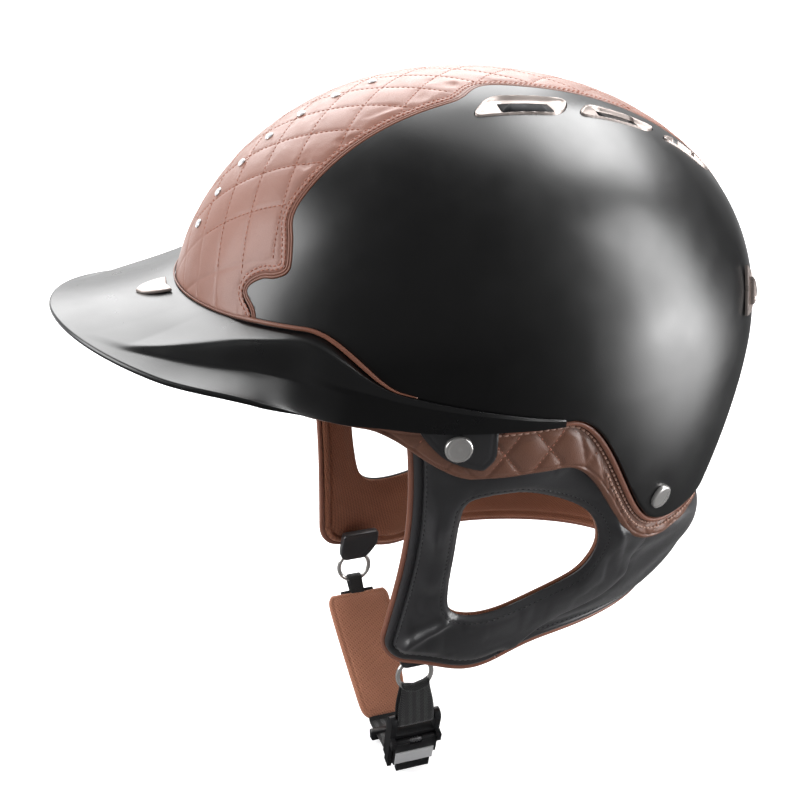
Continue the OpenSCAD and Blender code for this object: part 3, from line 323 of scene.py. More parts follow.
def make(name, v, faces, mat, body="helmet", uv=None, smooth=True, replaces=(), slot=None,
         padded=None, sharp=None):
    me = bpy.data.meshes.new(name)
    me.from_pydata(metres(v).tolist(), [], [list(map(int, f)) for f in faces])
    if uv is not None:
        layer = me.uv_layers.new(name="UVMap")
        idx = np.zeros(len(me.loops), int)
        me.loops.foreach_get("vertex_index", idx)
        layer.data.foreach_set("uv", np.asarray(uv, np.float32)[idx].ravel())
    me.validate()
    me.polygons.foreach_set("use_smooth", [smooth] * len(me.polygons))
    if sharp is not None:
        me.set_sharp_from_angle(angle=math.radians(sharp))
    if mat is not None:
        me.materials.append(mat)
    o = bpy.data.objects.new(name, me)
    scene.collection.objects.link(o)
    if body:
        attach(o, body)
    if replaces:
        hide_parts(*replaces)
    return o


def pair(name, v, faces, mat, replaces=(), **kw):
    """A piece on the left and its mirror image on the right."""
    sides = (("left", v, faces), ("right", mirror(v), flip_faces(faces)))
    return [make(f"{name}_{side}", vv, ff, mat, replaces=[f"{r}_{side}" for r in replaces], **kw)
            for side, vv, ff in sides]


def join(parts):
    vs, fs, n = [], [], 0
    for v, f in parts:
        vs.append(np.asarray(v, float))
        fs += [[int(i) + n for i in q] for q in f]
        n += len(v)
    return np.concatenate(vs), fs


def both(v, faces):
    """One mesh of a piece and its mirror image."""
    return join([(v, faces), (mirror(v), flip_faces(faces))])


def shell_faces(rows, cols, wrap):
    """Quads of a closed solid between an outer and an inner grid."""
    base = rows * cols
    last = cols if wrap else cols - 1
    i, j = np.meshgrid(np.arange(rows - 1), np.arange(last), indexing="ij")
    n = (j + 1) % cols
    a, b, c, d = i * cols + j, i * cols + n, (i + 1) * cols + j, (i + 1) * cols + n
    quads = [np.stack([a, b, d, c], -1).reshape(-1, 4),
             np.stack([base + a, base + c, base + d, base + b], -1).reshape(-1, 4)]
    j = np.arange(last)
    n = (j + 1) % cols
    t = (rows - 1) * cols
    quads.append(np.stack([j, base + j, base + n, n], -1))
    quads.append(np.stack([t + j, t + n, base + t + n, base + t + j], -1))
    if not wrap:
        i = np.arange(rows - 1) * cols
        quads.append(np.stack([i, i + cols, base + i + cols, base + i], -1))
        i = i + cols - 1
        quads.append(np.stack([i, base + i, base + i + cols, i + cols], -1))
    return np.concatenate(quads)


def solid(outer, inner, wrap=False):
    rows, cols = outer.shape[:2]
    v = np.concatenate([outer.reshape(-1, 3), inner.reshape(-1, 3)])
    return v, shell_faces(rows, cols, wrap)


def bowl(outer, inner, top_out, top_in):
    """Closed dome wall: rows run up to a crown point on each side."""
    rows, cols = outer.shape[:2]
    base = rows * cols
    v = np.concatenate([outer.reshape(-1, 3), inner.reshape(-1, 3), [top_out], [top_in]])
    quads = shell_faces(rows, cols, True)
    n = (rows - 1) * cols
    drop = np.all(np.isin(quads % base, np.arange(n, n + cols)), axis=1)
    faces = [list(q) for q in quads[~drop]]
    for j in range(cols):
        k = (j + 1) % cols
        faces.append([n + j, n + k, 2 * base])
        faces.append([base + n + k, base + n + j, 2 * base + 1])
    return v, faces


def ring_quads(rows, n, closed=False):
    """Quads between rings of n points; closed joins the last ring to the first."""
    return [[i * n + q, i * n + (q + 1) % n, (i + 1) % rows * n + (q + 1) % n, (i + 1) % rows * n + q]
            for i in range(rows if closed else rows - 1) for q in range(n)]


def loft(rings, first, last):
    """Solid through rings, closed by fans to a first and a last point."""
    rows, n = len(rings), len(rings[0])
    m = rows * n
    v = np.concatenate([np.reshape(rings, (-1, 3)), [first], [last]])
    faces = ring_quads(rows, n) + [[(q + 1) % n, q, m] for q in range(n)]
    return v, faces + [[m - n + q, m - n + (q + 1) % n, m + 1] for q in range(n)]


def tube(path, side, radius, sides=12):
    """Round cord along a path; side points away from the surface."""
    t = unit(np.gradient(path, axis=0))
    s = np.broadcast_to(np.asarray(side, float), path.shape)
    u = unit(s - np.sum(s * t, -1, keepdims=True) * t)
    w = np.cross(t, u)
    r = np.broadcast_to(np.asarray(radius, float), len(path))
    ang = np.arange(sides) * 2 * math.pi / sides
    rings = (path[:, None] + r[:, None, None] * (np.cos(ang)[None, :, None] * u[:, None]
                                                + np.sin(ang)[None, :, None] * w[:, None]))
    return loft(rings, path[0], path[-1])


def lathe(profile, n=48):
    """Solid turned round Z from (radius, height) points."""
    prof = np.array(profile, float)
    ang = np.arange(n) * 2 * math.pi / n
    rings = np.stack([prof[:, 0:1] * np.cos(ang), prof[:, 0:1] * np.sin(ang),
                      np.broadcast_to(prof[:, 1:2], (len(prof), n))], -1)
    return loft(rings, [0, 0, prof[0, 1]], [0, 0, prof[-1, 1]])


def grid_uv(outer):
    """UVs from arc lengths along the grid, in cm."""
    du = np.linalg.norm(np.diff(outer, axis=1), axis=-1)
    dv = np.linalg.norm(np.diff(outer, axis=0), axis=-1)
    u = np.concatenate([np.zeros((outer.shape[0], 1)), np.cumsum(du, axis=1)], axis=1)
    u = u - u[:, [u.shape[1] // 2]]
    v = np.concatenate([np.zeros((1, outer.shape[1])), np.cumsum(dv, axis=0)], axis=0)
    uv = np.stack([u, v], -1).reshape(-1, 2) * 0.1
    return np.concatenate([uv, uv])


def boolean(o, cutters, op="DIFFERENCE", sharp=None):
    """Cut a piece with solids, which are used up, and shade it again."""
    for c in cutters:
        m = o.modifiers.new("cut", "BOOLEAN")
        m.operation = op
        m.solver = "MANIFOLD"
        m.object = c
    bpy.context.view_layer.update()
    dg = bpy.context.evaluated_depsgraph_get()
    me = bpy.data.meshes.new_from_object(o.evaluated_get(dg))
    o.modifiers.clear()
    old, o.data = o.data, me
    bpy.data.meshes.remove(old)
    for c in cutters:
        bpy.data.objects.remove(c)
    if sharp is not None:
        me.polygons.foreach_set("use_smooth", [True] * len(me.polygons))
        me.set_sharp_from_angle(angle=math.radians(sharp))
    return o


def prism(poly, low, high, along_x=False):
    """Cutter over an outline, upright or along X; low may give a level for each point."""
    p = np.asarray(poly, float)
    n = len(p)
    low = np.broadcast_to(low, n)
    if np.sum(p[:, 0] * np.roll(p[:, 1], -1) - np.roll(p[:, 0], -1) * p[:, 1]) < 0:
        p, low = p[::-1], low[::-1]
    ends = [np.c_[z, p] if along_x else np.c_[p, z] for z in (low, np.full(n, high))]
    faces = [list(range(n))[::-1], list(range(n, 2 * n))] + ring_quads(2, n)
    if high < low[0]:
        faces = flip_faces(faces)
    return make("prism", np.concatenate(ends), faces, None, body=None)


def stitches(rows, length, radius, sink=0.3):
    """Threads on a surface, one small arched strand each, from rows of points, directions and normals."""
    points, dirs, normals = (np.concatenate(column) for column in zip(*rows))
    u = np.array([-1, -0.72, 0, 0.72, 1])
    rr = np.array([0.35, 0.9, 1.0, 0.9, 0.35])
    h = -sink * u ** 4
    k = 6
    ang = np.arange(k) * 2 * math.pi / k
    n = unit(normals - np.sum(normals * dirs, -1, keepdims=True) * dirs)
    b = np.cross(dirs, n)
    v = (points[:, None, None] + dirs[:, None, None] * (u * length / 2)[None, :, None, None]
         + n[:, None, None] * (h[:, None] + radius * rr[:, None] * np.cos(ang)[None])[None, ..., None]
         + b[:, None, None] * (radius * rr[:, None] * np.sin(ang)[None])[None, ..., None])
    one = ring_quads(5, k) + [list(range(k))[::-1], [4 * k + i for i in range(k)]]
    faces = [[q + s * 5 * k for q in f] for s in range(len(points)) for f in one]
    return v.reshape(-1, 3), faces


def soft_edge(d, r):
    """From 1 at an edge to 0 at the distance r, on a quarter circle."""
    return 1 - np.sqrt(np.clip(1 - (1 - np.clip(d / r, 0, 1)) ** 2, 0, 1))


def quilted(d1, d2, cell, seam, rise):
    """Height of a quilted cushion at the distances from its two families of seams."""
    swell = np.sin(np.pi * np.clip(d1 / cell, 0, 1)) * np.sin(np.pi * np.clip(d2 / cell, 0, 1))
    return seam * np.tanh(d1) * np.tanh(d2) + rise * swell


def cut_both(pieces, poly, low, high, op="DIFFERENCE", sharp=None, along_x=False):
    """Cut a left and a right piece with a prism and its mirror image."""
    for o, side in zip(pieces, (1, -1)):
        cutter = prism(poly, low * side, high * side, True) if along_x else prism(poly * [side, 1], low, high)
        boolean(o, [cutter], op, sharp)


# Materials
SOCKETS = {"rough": "Roughness", "metal": "Metallic", "spec": "Specular IOR Level",
           "coat": "Coat Weight", "coat_rough": "Coat Roughness", "sheen": "Sheen Weight",
           "sheen_rough": "Sheen Roughness", "sheen_tint": "Sheen Tint"}


def new_material(name, base, rough, **values):
    """A material with its node tree and its shader."""
    m = bpy.data.materials.new(name)
    m.use_nodes = True
    b = m.node_tree.nodes["Principled BSDF"]
    b.inputs["Base Color"].default_value = (*base, 1)
    for key, value in {"rough": rough, "sheen_rough": 0.4, **values}.items():
        b.inputs[SOCKETS[key]].default_value = value
    return m, m.node_tree, b


def node(nt, kind, **kw):
    n = nt.nodes.new(kind)
    for k, v in kw.items():
        setattr(n, k, v)
    return n


def feed(nt, socket, x):
    """Link a socket to another one, or give it a value."""
    if isinstance(x, bpy.types.NodeSocket):
        nt.links.new(x, socket)
    else:
        socket.default_value = x


def coords(nt, which="Object"):
    return node(nt, "ShaderNodeTexCoord").outputs[which]


def split(nt, vec):
    n = node(nt, "ShaderNodeSeparateXYZ")
    nt.links.new(vec, n.inputs[0])
    return n.outputs


def mapped(nt, vec, scale, turn=0.0):
    n = node(nt, "ShaderNodeMapping")
    n.inputs["Scale"].default_value = scale
    n.inputs["Rotation"].default_value = (0, 0, turn)
    nt.links.new(vec, n.inputs["Vector"])
    return n.outputs["Vector"]


def tex_noise(nt, vec, scale, detail=4, rough=0.55, distortion=0.0):
    n = node(nt, "ShaderNodeTexNoise")
    for k, v in zip(("Scale", "Detail", "Roughness", "Distortion"), (scale, detail, rough, distortion)):
        n.inputs[k].default_value = v
    nt.links.new(vec, n.inputs["Vector"])
    return n.outputs["Fac"]


def tex_voronoi(nt, vec, scale, feature="F1"):
    n = node(nt, "ShaderNodeTexVoronoi", feature=feature)
    n.inputs["Scale"].default_value = scale
    nt.links.new(vec, n.inputs["Vector"])
    return n.outputs["Distance"]


def maths(nt, op, *values, clamp=False):
    n = node(nt, "ShaderNodeMath", operation=op, use_clamp=clamp)
    for socket, x in zip(n.inputs, values):
        feed(nt, socket, x)
    return n.outputs[0]


def vector_maths(nt, op, vec, out, other=None):
    n = node(nt, "ShaderNodeVectorMath", operation=op)
    nt.links.new(vec, n.inputs[0])
    if other:
        n.inputs[1].default_value = other
    return n.outputs[out]


def remap(nt, x, a, b, c, d):
    n = node(nt, "ShaderNodeMapRange")
    nt.links.new(x, n.inputs["Value"])
    for k, v in zip(("From Min", "From Max", "To Min", "To Max"), (a, b, c, d)):
        n.inputs[k].default_value = v
    return n.outputs["Result"]


def two_tones(nt, share, first, second):
    n = node(nt, "ShaderNodeMix", data_type="RGBA")
    nt.links.new(share, n.inputs["Factor"])
    for socket, tone in zip(("A", "B"), (first, second)):
        feed(nt, n.inputs[socket], tone if isinstance(tone, bpy.types.NodeSocket) else (*tone, 1))
    return n.outputs["Result"]


def paint(nt, b, share, first, second):
    """Base colour between two tones."""
    nt.links.new(two_tones(nt, share, first, second), b.inputs["Base Color"])


def polish(nt, b, x, low, high, start=0.3):
    """Roughness between two values, as a noise goes from start to 0.7."""
    nt.links.new(remap(nt, x, start, 0.7, low, high), b.inputs["Roughness"])


def bump(nt, b, height, strength, distance):
    n = node(nt, "ShaderNodeBump")
    n.inputs["Strength"].default_value = strength
    n.inputs["Distance"].default_value = distance
    nt.links.new(height, n.inputs["Height"])
    nt.links.new(n.outputs["Normal"], b.inputs["Normal"])


def shade(base, k):
    return [c * k for c in base]


def satin_black(name, base, rough, spec):
    m, nt, b = new_material(name, base, rough, spec=spec)
    v = coords(nt)
    paint(nt, b, tex_noise(nt, v, 22, 3), shade(base, 0.88), shade(base, 1.15))
    polish(nt, b, tex_noise(nt, v, 60, 5), rough - 0.03, rough + 0.03)
    bump(nt, b, tex_noise(nt, v, 1900, 2, 0.6), 0.05, 0.0004)
    return m


def leather(name, base, dark, rough=0.38, grain=1000, depth=0.2, crinkle=0.8, **values):
    m, nt, b = new_material(name, base, rough, **values)
    v = coords(nt)
    pebble = remap(nt, tex_voronoi(nt, v, grain, "DISTANCE_TO_EDGE"), 0.0, 0.12, 0.0, 1.0)
    crease = tex_noise(nt, v, 150, 6, 0.62, 0.6)
    mottle = maths(nt, "MULTIPLY", tex_noise(nt, v, 34, 5, 0.6), 0.85)
    paint(nt, b, maths(nt, "MULTIPLY_ADD", pebble, 0.25, mottle, clamp=True), dark, base)
    worn = maths(nt, "ADD", crease, maths(nt, "MULTIPLY", pebble, -0.2))
    polish(nt, b, worn, rough - 0.07, rough + 0.09, 0.2)
    height = maths(nt, "MULTIPLY_ADD", pebble, 0.5, maths(nt, "MULTIPLY", crease, crinkle))
    bump(nt, b, height, depth, 0.0004)
    return m


def mesh_fabric(name, base, dark):
    """Knitted spacer mesh: staggered small holes in ribs, in UVs measured in cm."""
    m, nt, b = new_material(name, base, 0.85, spec=0.25, sheen=0.35, sheen_rough=0.45,
                            sheen_tint=(0.8, 0.6, 0.5, 1))
    u, v, _ = split(nt, mapped(nt, coords(nt, "UV"), (7.5, 7.5, 7.5), 0.55))
    half = maths(nt, "MULTIPLY", maths(nt, "MODULO", maths(nt, "FLOOR", v), 2), 0.5)
    fu = maths(nt, "SUBTRACT", maths(nt, "FRACT", maths(nt, "ADD", u, half)), 0.5)
    fv = maths(nt, "SUBTRACT", maths(nt, "FRACT", v), 0.5)
    d = maths(nt, "SQRT", maths(nt, "ADD", maths(nt, "MULTIPLY", fu, fu),
                                maths(nt, "MULTIPLY", maths(nt, "MULTIPLY", fv, fv), 0.7)))
    hole = remap(nt, d, 0.08, 0.34, 0.0, 1.0)
    rib = maths(nt, "ABSOLUTE", maths(nt, "SINE", maths(nt, "MULTIPLY", u, math.pi)))
    weave = maths(nt, "MULTIPLY_ADD", rib, 0.5, maths(nt, "MULTIPLY", hole, 0.5))
    wear = remap(nt, tex_noise(nt, coords(nt), 30, 4), 0.3, 0.7, 0.8, 1.15)
    paint(nt, b, maths(nt, "MULTIPLY", weave, wear, clamp=True), dark, base)
    fuzz = tex_noise(nt, coords(nt), 2400, 2)
    bump(nt, b, maths(nt, "MULTIPLY_ADD", fuzz, 0.25, weave), 0.6, 0.0006)
    return m


def thread(name, base, dark):
    m, nt, b = new_material(name, base, 0.55, spec=0.4, sheen=0.3)
    twist = tex_noise(nt, coords(nt), 2600, 2, 0.5)
    paint(nt, b, remap(nt, twist, 0.3, 0.7, 0, 1), dark, base)
    bump(nt, b, twist, 0.5, 0.0002)
    return m


def metal(name, base, rough, brushed=0.0, amount=1.0):
    m, nt, b = new_material(name, base, rough, metal=amount)
    v = coords(nt)
    if brushed:
        grain = tex_noise(nt, mapped(nt, v, (60, 2600, 60)), 1, 3)
    else:
        grain = tex_noise(nt, v, 800, 4)
    smear = tex_noise(nt, v, 90, 4)
    paint(nt, b, smear, shade(base, 0.86), base)
    polish(nt, b, smear, rough * 0.75, rough * 1.3)
    bump(nt, b, grain, 0.04 + brushed, 0.00005)
    return m


def plastic(name, base, rough, grain=0.12):
    m, nt, b = new_material(name, base, rough)
    v = coords(nt)
    smear = tex_noise(nt, v, 120, 4)
    paint(nt, b, smear, shade(base, 0.8), shade(base, 1.25))
    polish(nt, b, smear, rough - 0.05, rough + 0.08)
    bump(nt, b, tex_noise(nt, v, 1400, 3), grain, 0.0003)
    return m


def webbing_material(name, base, dark):
    """Woven strap: chevron ribs across the width, in UVs measured in cm."""
    m, nt, b = new_material(name, base, 0.72, spec=0.35, sheen=0.3)
    u, v, _ = split(nt, coords(nt, "UV"))
    zig = maths(nt, "SUBTRACT", maths(nt, "FRACT", maths(nt, "MULTIPLY", u, 2.4)), 0.5)
    chevron = maths(nt, "ADD", v, maths(nt, "MULTIPLY", maths(nt, "ABSOLUTE", zig), 0.35))
    ribs = maths(nt, "SINE", maths(nt, "MULTIPLY", chevron, 75))
    cords = maths(nt, "SINE", maths(nt, "MULTIPLY", u, 90))
    weave = remap(nt, maths(nt, "MULTIPLY_ADD", cords, 0.4, ribs), -1.4, 1.4, 0, 1)
    paint(nt, b, weave, dark, base)
    bump(nt, b, weave, 0.7, 0.0004)
    return m


def stone_material(name):
    m, nt, b = new_material(name, (0.95, 0.96, 0.98), 0.1, spec=1.0, coat=1.0, coat_rough=0.03)
    v = coords(nt)
    paint(nt, b, tex_voronoi(nt, v, 500), (0.98, 0.98, 1), (0.8, 0.82, 0.88))
    cloud = tex_noise(nt, v, 700, 3)
    polish(nt, b, cloud, 0.06, 0.16)
    bump(nt, b, cloud, 0.05, 0.00005)
    return m


M_SHELL = satin_black("satin_black_shell", (0.003, 0.003, 0.0034), 0.31, 0.85)
M_BRIM = satin_black("satin_black_brim", (0.0035, 0.0035, 0.004), 0.3, 0.9)
M_CROWN = leather("crown_leather", (0.345, 0.165, 0.124), (0.25, 0.112, 0.082), 0.4, 1100, 0.18,
                  spec=0.55, sheen=0.12, sheen_tint=(1, 0.8, 0.72, 1))
M_SKIRT = leather("skirt_leather", (0.20, 0.092, 0.06), (0.11, 0.048, 0.031))
M_PIPING = leather("piping_leather", (0.27, 0.11, 0.07), (0.15, 0.055, 0.035), 0.38, 1500, 0.15)
M_BLACK_LEATHER = leather("black_leather", (0.031, 0.030, 0.0332), (0.017, 0.017, 0.0182), 0.38,
                          1300, 0.06, 0.25, spec=1.0, sheen=0.12)
M_LINING = mesh_fabric("lining_mesh", (0.29, 0.115, 0.064), (0.13, 0.045, 0.026))
M_PAD = mesh_fabric("pad_mesh", (0.44, 0.19, 0.115), (0.2, 0.08, 0.048))
M_COPPER = thread("copper_thread", (0.50, 0.19, 0.12), (0.30, 0.1, 0.06))
M_PINK = thread("pale_thread", (0.60, 0.37, 0.29), (0.38, 0.21, 0.15))
M_GREY = thread("black_thread", (0.03, 0.03, 0.032), (0.008, 0.008, 0.008))
M_BRONZE = metal("rose_metal", (0.50, 0.43, 0.40), 0.34, amount=0.55)
M_NICKEL = metal("nickel", (0.74, 0.72, 0.70), 0.18, amount=0.7)
M_STEEL = metal("spring_steel", (0.3, 0.3, 0.31), 0.4, 0.15, 0.8)
M_PLATE = metal("brushed_plate", (0.62, 0.62, 0.63), 0.35, 0.1, 0.3)
M_BUCKLE = plastic("buckle_plastic", (0.012, 0.012, 0.013), 0.34)
M_FOAM = plastic("moulded_foam", (0.016, 0.016, 0.018), 0.8, 0.5)
M_SCREEN = metal("screen_wire", (0.02, 0.02, 0.021), 0.5)
M_WEB = webbing_material("webbing", (0.022, 0.022, 0.023), (0.006, 0.006, 0.006))
M_STONE = stone_material("stone")

# Outer shell
PANEL_EDGE = spline([(62, -160), (62, -118), (61.5, -108), (53.5, -109.5), (57, -104), (62, -99),
                     (65, -93.5), (60, -90.5), (53, -88), (49.5, -79), (46, -60), (43, -38),
                     (40, -16), (37, -8), (28, 5), (28.5, 28), (29, 70), (28, 107), (25, 128),
                     (24.5, 140), (24, 156), (24, 175)], 6)
PANEL = np.concatenate([PANEL_EDGE, PANEL_EDGE[::-1] * [-1, 1]])
VENTS = {
    "front": np.array([(51, -10), (38, 3), (37, 42), (49, 34)], float),
    "mid": np.array([(47.5, 42), (37.5, 51), (36, 87), (43, 80)], float),
    "rear": np.array([(42, 88), (35.5, 95), (31, 122), (38, 115)], float)}
SHELL = 3.0  # thickness of the shell
PRISM_LOW = 20  # level from which upright prisms cut


def slot_of(v):
    """The open slot along a vent's near side."""
    w = 6 * np.linalg.norm(v[1] - v[0]) / np.linalg.norm(VENTS["front"][1] - VENTS["front"][0])
    a, b = mix(v[0], v[3], 0.38), mix(v[0], v[3], 0.95)
    t = unit(b - a)
    n = np.array([-t[1], t[0]])
    return np.array([a + 2.4 * n, a + (2.4 + w) * n, b + (2.4 + w) * n - 2 * t, b + 2.4 * n])


def crown_grid(z_front, z_rear, x_max, nx, ny):
    """Grid of points over the crown down to two levels, and their normals."""
    x = np.linspace(-x_max, x_max, nx)
    v = np.linspace(0, 1, ny)[:, None]
    q = (np.abs(x) / W) ** PN
    front, rear = (l * np.maximum((1 - (z / H) ** PM) ** (PN / PM) - q, 0.01) ** (1 / PN)
                   for l, z in ((F, z_front), (R, z_rear)))
    y = np.where(v < 0.5, -front, -rear) * np.cos(np.pi * v)
    grid = np.stack([np.broadcast_to(x, y.shape), y, dome_height(x, y)], -1)
    return grid, top_normal(grid)


def slab(grid, normals, low, high):
    """Solid between two heights over a grid."""
    return solid(*(grid + normals * np.asarray(d)[..., None] for d in (high, low)))


CAP = crown_grid(30.0, 40.0, 70, 120, 260)


def recess(poly, low, depth):
    """Cutter that reaches to a depth under the dome, inside an outline."""
    cap = make("cap", *slab(*CAP, -depth, 20.0), None, body=None)
    return boolean(cap, [prism(poly, low, PLATE_TOP)], "INTERSECT")


def style_line(p):
    """The faint crease that runs back along the side of the shell."""
    x, y, z = np.abs(p[..., 0]), p[..., 1], p[..., 2]
    line = np.interp(y, [-20, 10, 47, 67, 88, 107, 130], [92, 90, 85, 78.5, 67, 54, 40])
    fade = ramp(y, -15, 25) * (1 - ramp(y, 112, 135)) * ramp(x, 40, 55)
    return 0.9 * fade * (1 / (1 + np.exp((z - line) / 9)) - 0.5)


def dome_wall(out_d, in_size, low_at, rows, cols, lip=1.3, detail=None):
    """Outer and inner grid of a dome's wall, with rounded lips."""
    a = np.linspace(-90, 270, cols, endpoint=False)
    low = low_at(a)
    rise = np.array([0, 0.08, 0.3, 0.65, 1.0]) * lip  # height over the edge of the lip's rows
    degree = 2.1  # mm per degree of the profile, roughly
    drawn_in = lip - np.sqrt(np.maximum(lip ** 2 - (lip - rise[:-1]) ** 2, 0))

    def surface(d, size, lipped):
        b = profile_angle(low, d, size[3])
        start = b + rise[-1] / degree
        p = np.concatenate([b + rise[:-1, None] / degree,
                            start + np.linspace(0, 1, rows)[:, None] * (89.0 - start)])
        off = np.concatenate([-drawn_in * lipped, np.zeros(rows)])
        return dome(a[None], p, d + off[:, None], size)
    outer = surface(out_d, (W, F, R, H), 1)
    if detail:
        x, y, z = outer[..., 0], outer[..., 1], outer[..., 2]
        normals = unit(np.stack([x / W ** 2, y / length_of(y) ** 2, np.maximum(z, 0) / H ** 2], -1))
        outer = outer + normals * detail(outer)[..., None]
    return outer, surface(0.0, in_size, -0.8)


grids = dome_wall(0.0, (W - SHELL, F - SHELL, R - SHELL, H - SHELL), rim, 110, 360, detail=style_line)
shell = make("shell", *bowl(*grids, (0, 0, H), (0, 0, H - SHELL)), M_SHELL,
             replaces=["outer_shell"], slot="shell_paint")
cuts = [recess(PANEL, np.where(PANEL[:, 1] < 0, 34.0, 44.0), 2.2)]
for vent in VENTS.values():
    for side in (1, -1):
        cuts.append(recess(rounded(grow(vent, 0.6), 7.2) * [side, 1], PRISM_LOW, 1.9))
        cuts.append(prism(rounded(grow(slot_of(vent), 0.6), 1.2) * [side, 1], PRISM_LOW, PLATE_TOP))
boolean(shell, cuts, sharp=30)

# vent bezels: a thin raised rim round a floor that slopes down to the slot
for key, vent in VENTS.items():
    ring, hole = rounded(vent, 7.0, 12), rounded(slot_of(vent), 3.0, 8)
    lo, hi = ring.min(0) - 2, ring.max(0) + 2
    x, y = np.meshgrid(*(np.linspace(lo[k], hi[k], int((hi[k] - lo[k]) / 0.25)) for k in (0, 1)))
    plan = np.stack([x, y], -1)
    d_ring = distance_to(plan, ring, True)
    d_hole = distance_to(plan, hole, True) * np.where(inside(plan, hole), -1, 1)
    grid = np.stack([x, y, dome_height(x, y)], -1)
    floor = mix(-1.35, 0.15, np.clip(d_hole / 9.0, 0, 1) ** 0.8)
    floor = mix(floor, 0.25, bell(d_ring, 0, 1.2))
    raised = 0.5 * np.exp(-(np.maximum(d_ring - 0.5, 0) / 0.8) ** 2)
    v, f = slab(grid, top_normal(grid), -1.85, floor + raised * ramp(d_ring, 0, 0.35))
    frames = pair(f"vent_frame_{key}", v, f, M_BRONZE, replaces=[f"vent_bezel_{key}"], slot="bezel_metal")
    cut_both(frames, ring, PRISM_LOW, PLATE_TOP, "INTERSECT")
    cut_both(frames, hole, PRISM_LOW, PLATE_TOP, sharp=40)

# Quilted crown panel
across, up = (g(np.radians(np.linspace(90, 0, 3001))) ** (2 / PM) for g in (np.cos, np.sin))
ARC_FRONT, ARC_REAR = ((l * across, run_length(np.c_[l * across, H * up])) for l in (F, R))


def arc_length(y):
    """Length over the crown's centre line to a depth y."""
    return np.where(y < 0, -np.interp(-y, *ARC_FRONT), np.interp(y, *ARC_REAR))


def arc_back(t):
    """Depth y at a length over the centre line."""
    return np.where(t < 0, -np.interp(-t, *ARC_FRONT[::-1]), np.interp(t, *ARC_REAR[::-1]))


DIAMOND_WIDE, DIAMOND_LONG, DIAMOND_START, DIAMOND_BEND = 22.82, 26.31, 168.54, 0.0024
CELL = 17.24  # distance between two seams of one family
GROOVE = 2.6  # room for the cords, between the shell's edge and the panel
STITCH = 1.75  # length of a stitch
middle = PANEL[(PANEL[:, 1] > -150) & (PANEL[:, 1] < 170)]
middle = np.split(middle, [len(middle) // 2])
panel_poly = np.concatenate([[[62, -170]], middle[0], [[24, 175], [-24, 175]], middle[1], [[-62, -170]]])
edge = np.c_[PANEL_EDGE, dome_height(PANEL_EDGE[:, 0], PANEL_EDGE[:, 1])]
EDGE = on_dome(walk(edge[edge[:, 2] > 3], 0.6)[0])


def edge_gap(x, y):
    """Distance inside the panel's edge, along the dome."""
    side = np.where(inside(np.stack([x, y], -1), panel_poly), 1, -1)
    return distance_to(np.stack([np.abs(x), y, dome_height(x, y)], -1), EDGE) * side - GROOVE


def inset_on_dome(d):
    """The near edge of the panel moved inwards by d along the dome."""
    b = np.cross(top_normal(EDGE), unit(np.gradient(EDGE, axis=0)))
    q = on_dome(EDGE - d * b * np.sign(b[:, 0].sum()))
    return smoothed(q[distance_to(q, EDGE) > 0.93 * d], 2)


def above(p, front, rear):
    """The points of a line over a front and a rear level."""
    return p[p[:, 2] > np.where(p[:, 1] < 0, front, rear)]


def crown_form(p):
    """Height of the leather over the dome."""
    x, y = p[..., 0], p[..., 1]
    t = (arc_length(y) - DIAMOND_BEND * x * x + DIAMOND_START) / DIAMOND_LONG
    seams = (t + x / DIAMOND_WIDE - 0.5, t - x / DIAMOND_WIDE - 0.5)
    d1, d2 = (np.abs(c - np.round(c)) * CELL for c in seams)
    e = edge_gap(x, y)
    fade = ramp(np.minimum(e, np.maximum(p[..., 2] - np.where(y < 0, 34.5, 44.5), 0) + 3), 2.4, 6.5)
    rows = 0.14 * bell(e, 2.0, 0.5) - 0.16 * bell(e, 1.2, 0.4) - 0.24 * bell(e, 2.9, 0.5)
    near = bell(e, 6.5, 4.5)
    pucker = (noise(p, 26.0) * 0.2 - 1.5 * near * np.maximum(0, noise(p, 8.0) - 0.32)
              + 0.25 * near * noise(p, 5.0))
    creases = 0.3 * np.maximum(0, noise(p * [1.6, 1, 0.8], 7.0)) * bell(d1, 0, 3.0) * fade
    return (quilted(d1, d2, CELL, 0.30, 0.26) * mix(0.12, 1, fade) - 0.35 + rows + pucker + creases
            - 1.1 * soft_edge(e, 1.0))


def lifted(line, height):
    """A line of the dome laid on the leather."""
    return line + top_normal(line) * (crown_form(line)[:, None] + height)


grid, normals = crown_grid(33.0, 43.0, 66, 221, 420)
panel = make("crown", *slab(grid, normals, -1.9, crown_form(grid)), M_CROWN,
             replaces=["crown_panel"], slot="panel_leather", padded=0.5)
line = above(inset_on_dome(GROOVE), 30, 40)[:, :2]
line = np.concatenate([line[:1] * [1, 0] - [0, 170], line, line[-1:] * [1, 0] + [0, 180]])
line = np.concatenate([line, line[::-1] * [-1, 1]])
boolean(panel, [prism(line, np.where(line[:, 1] < 0, FRONT_TOP, REAR_END), PLATE_TOP)], "INTERSECT", 40)

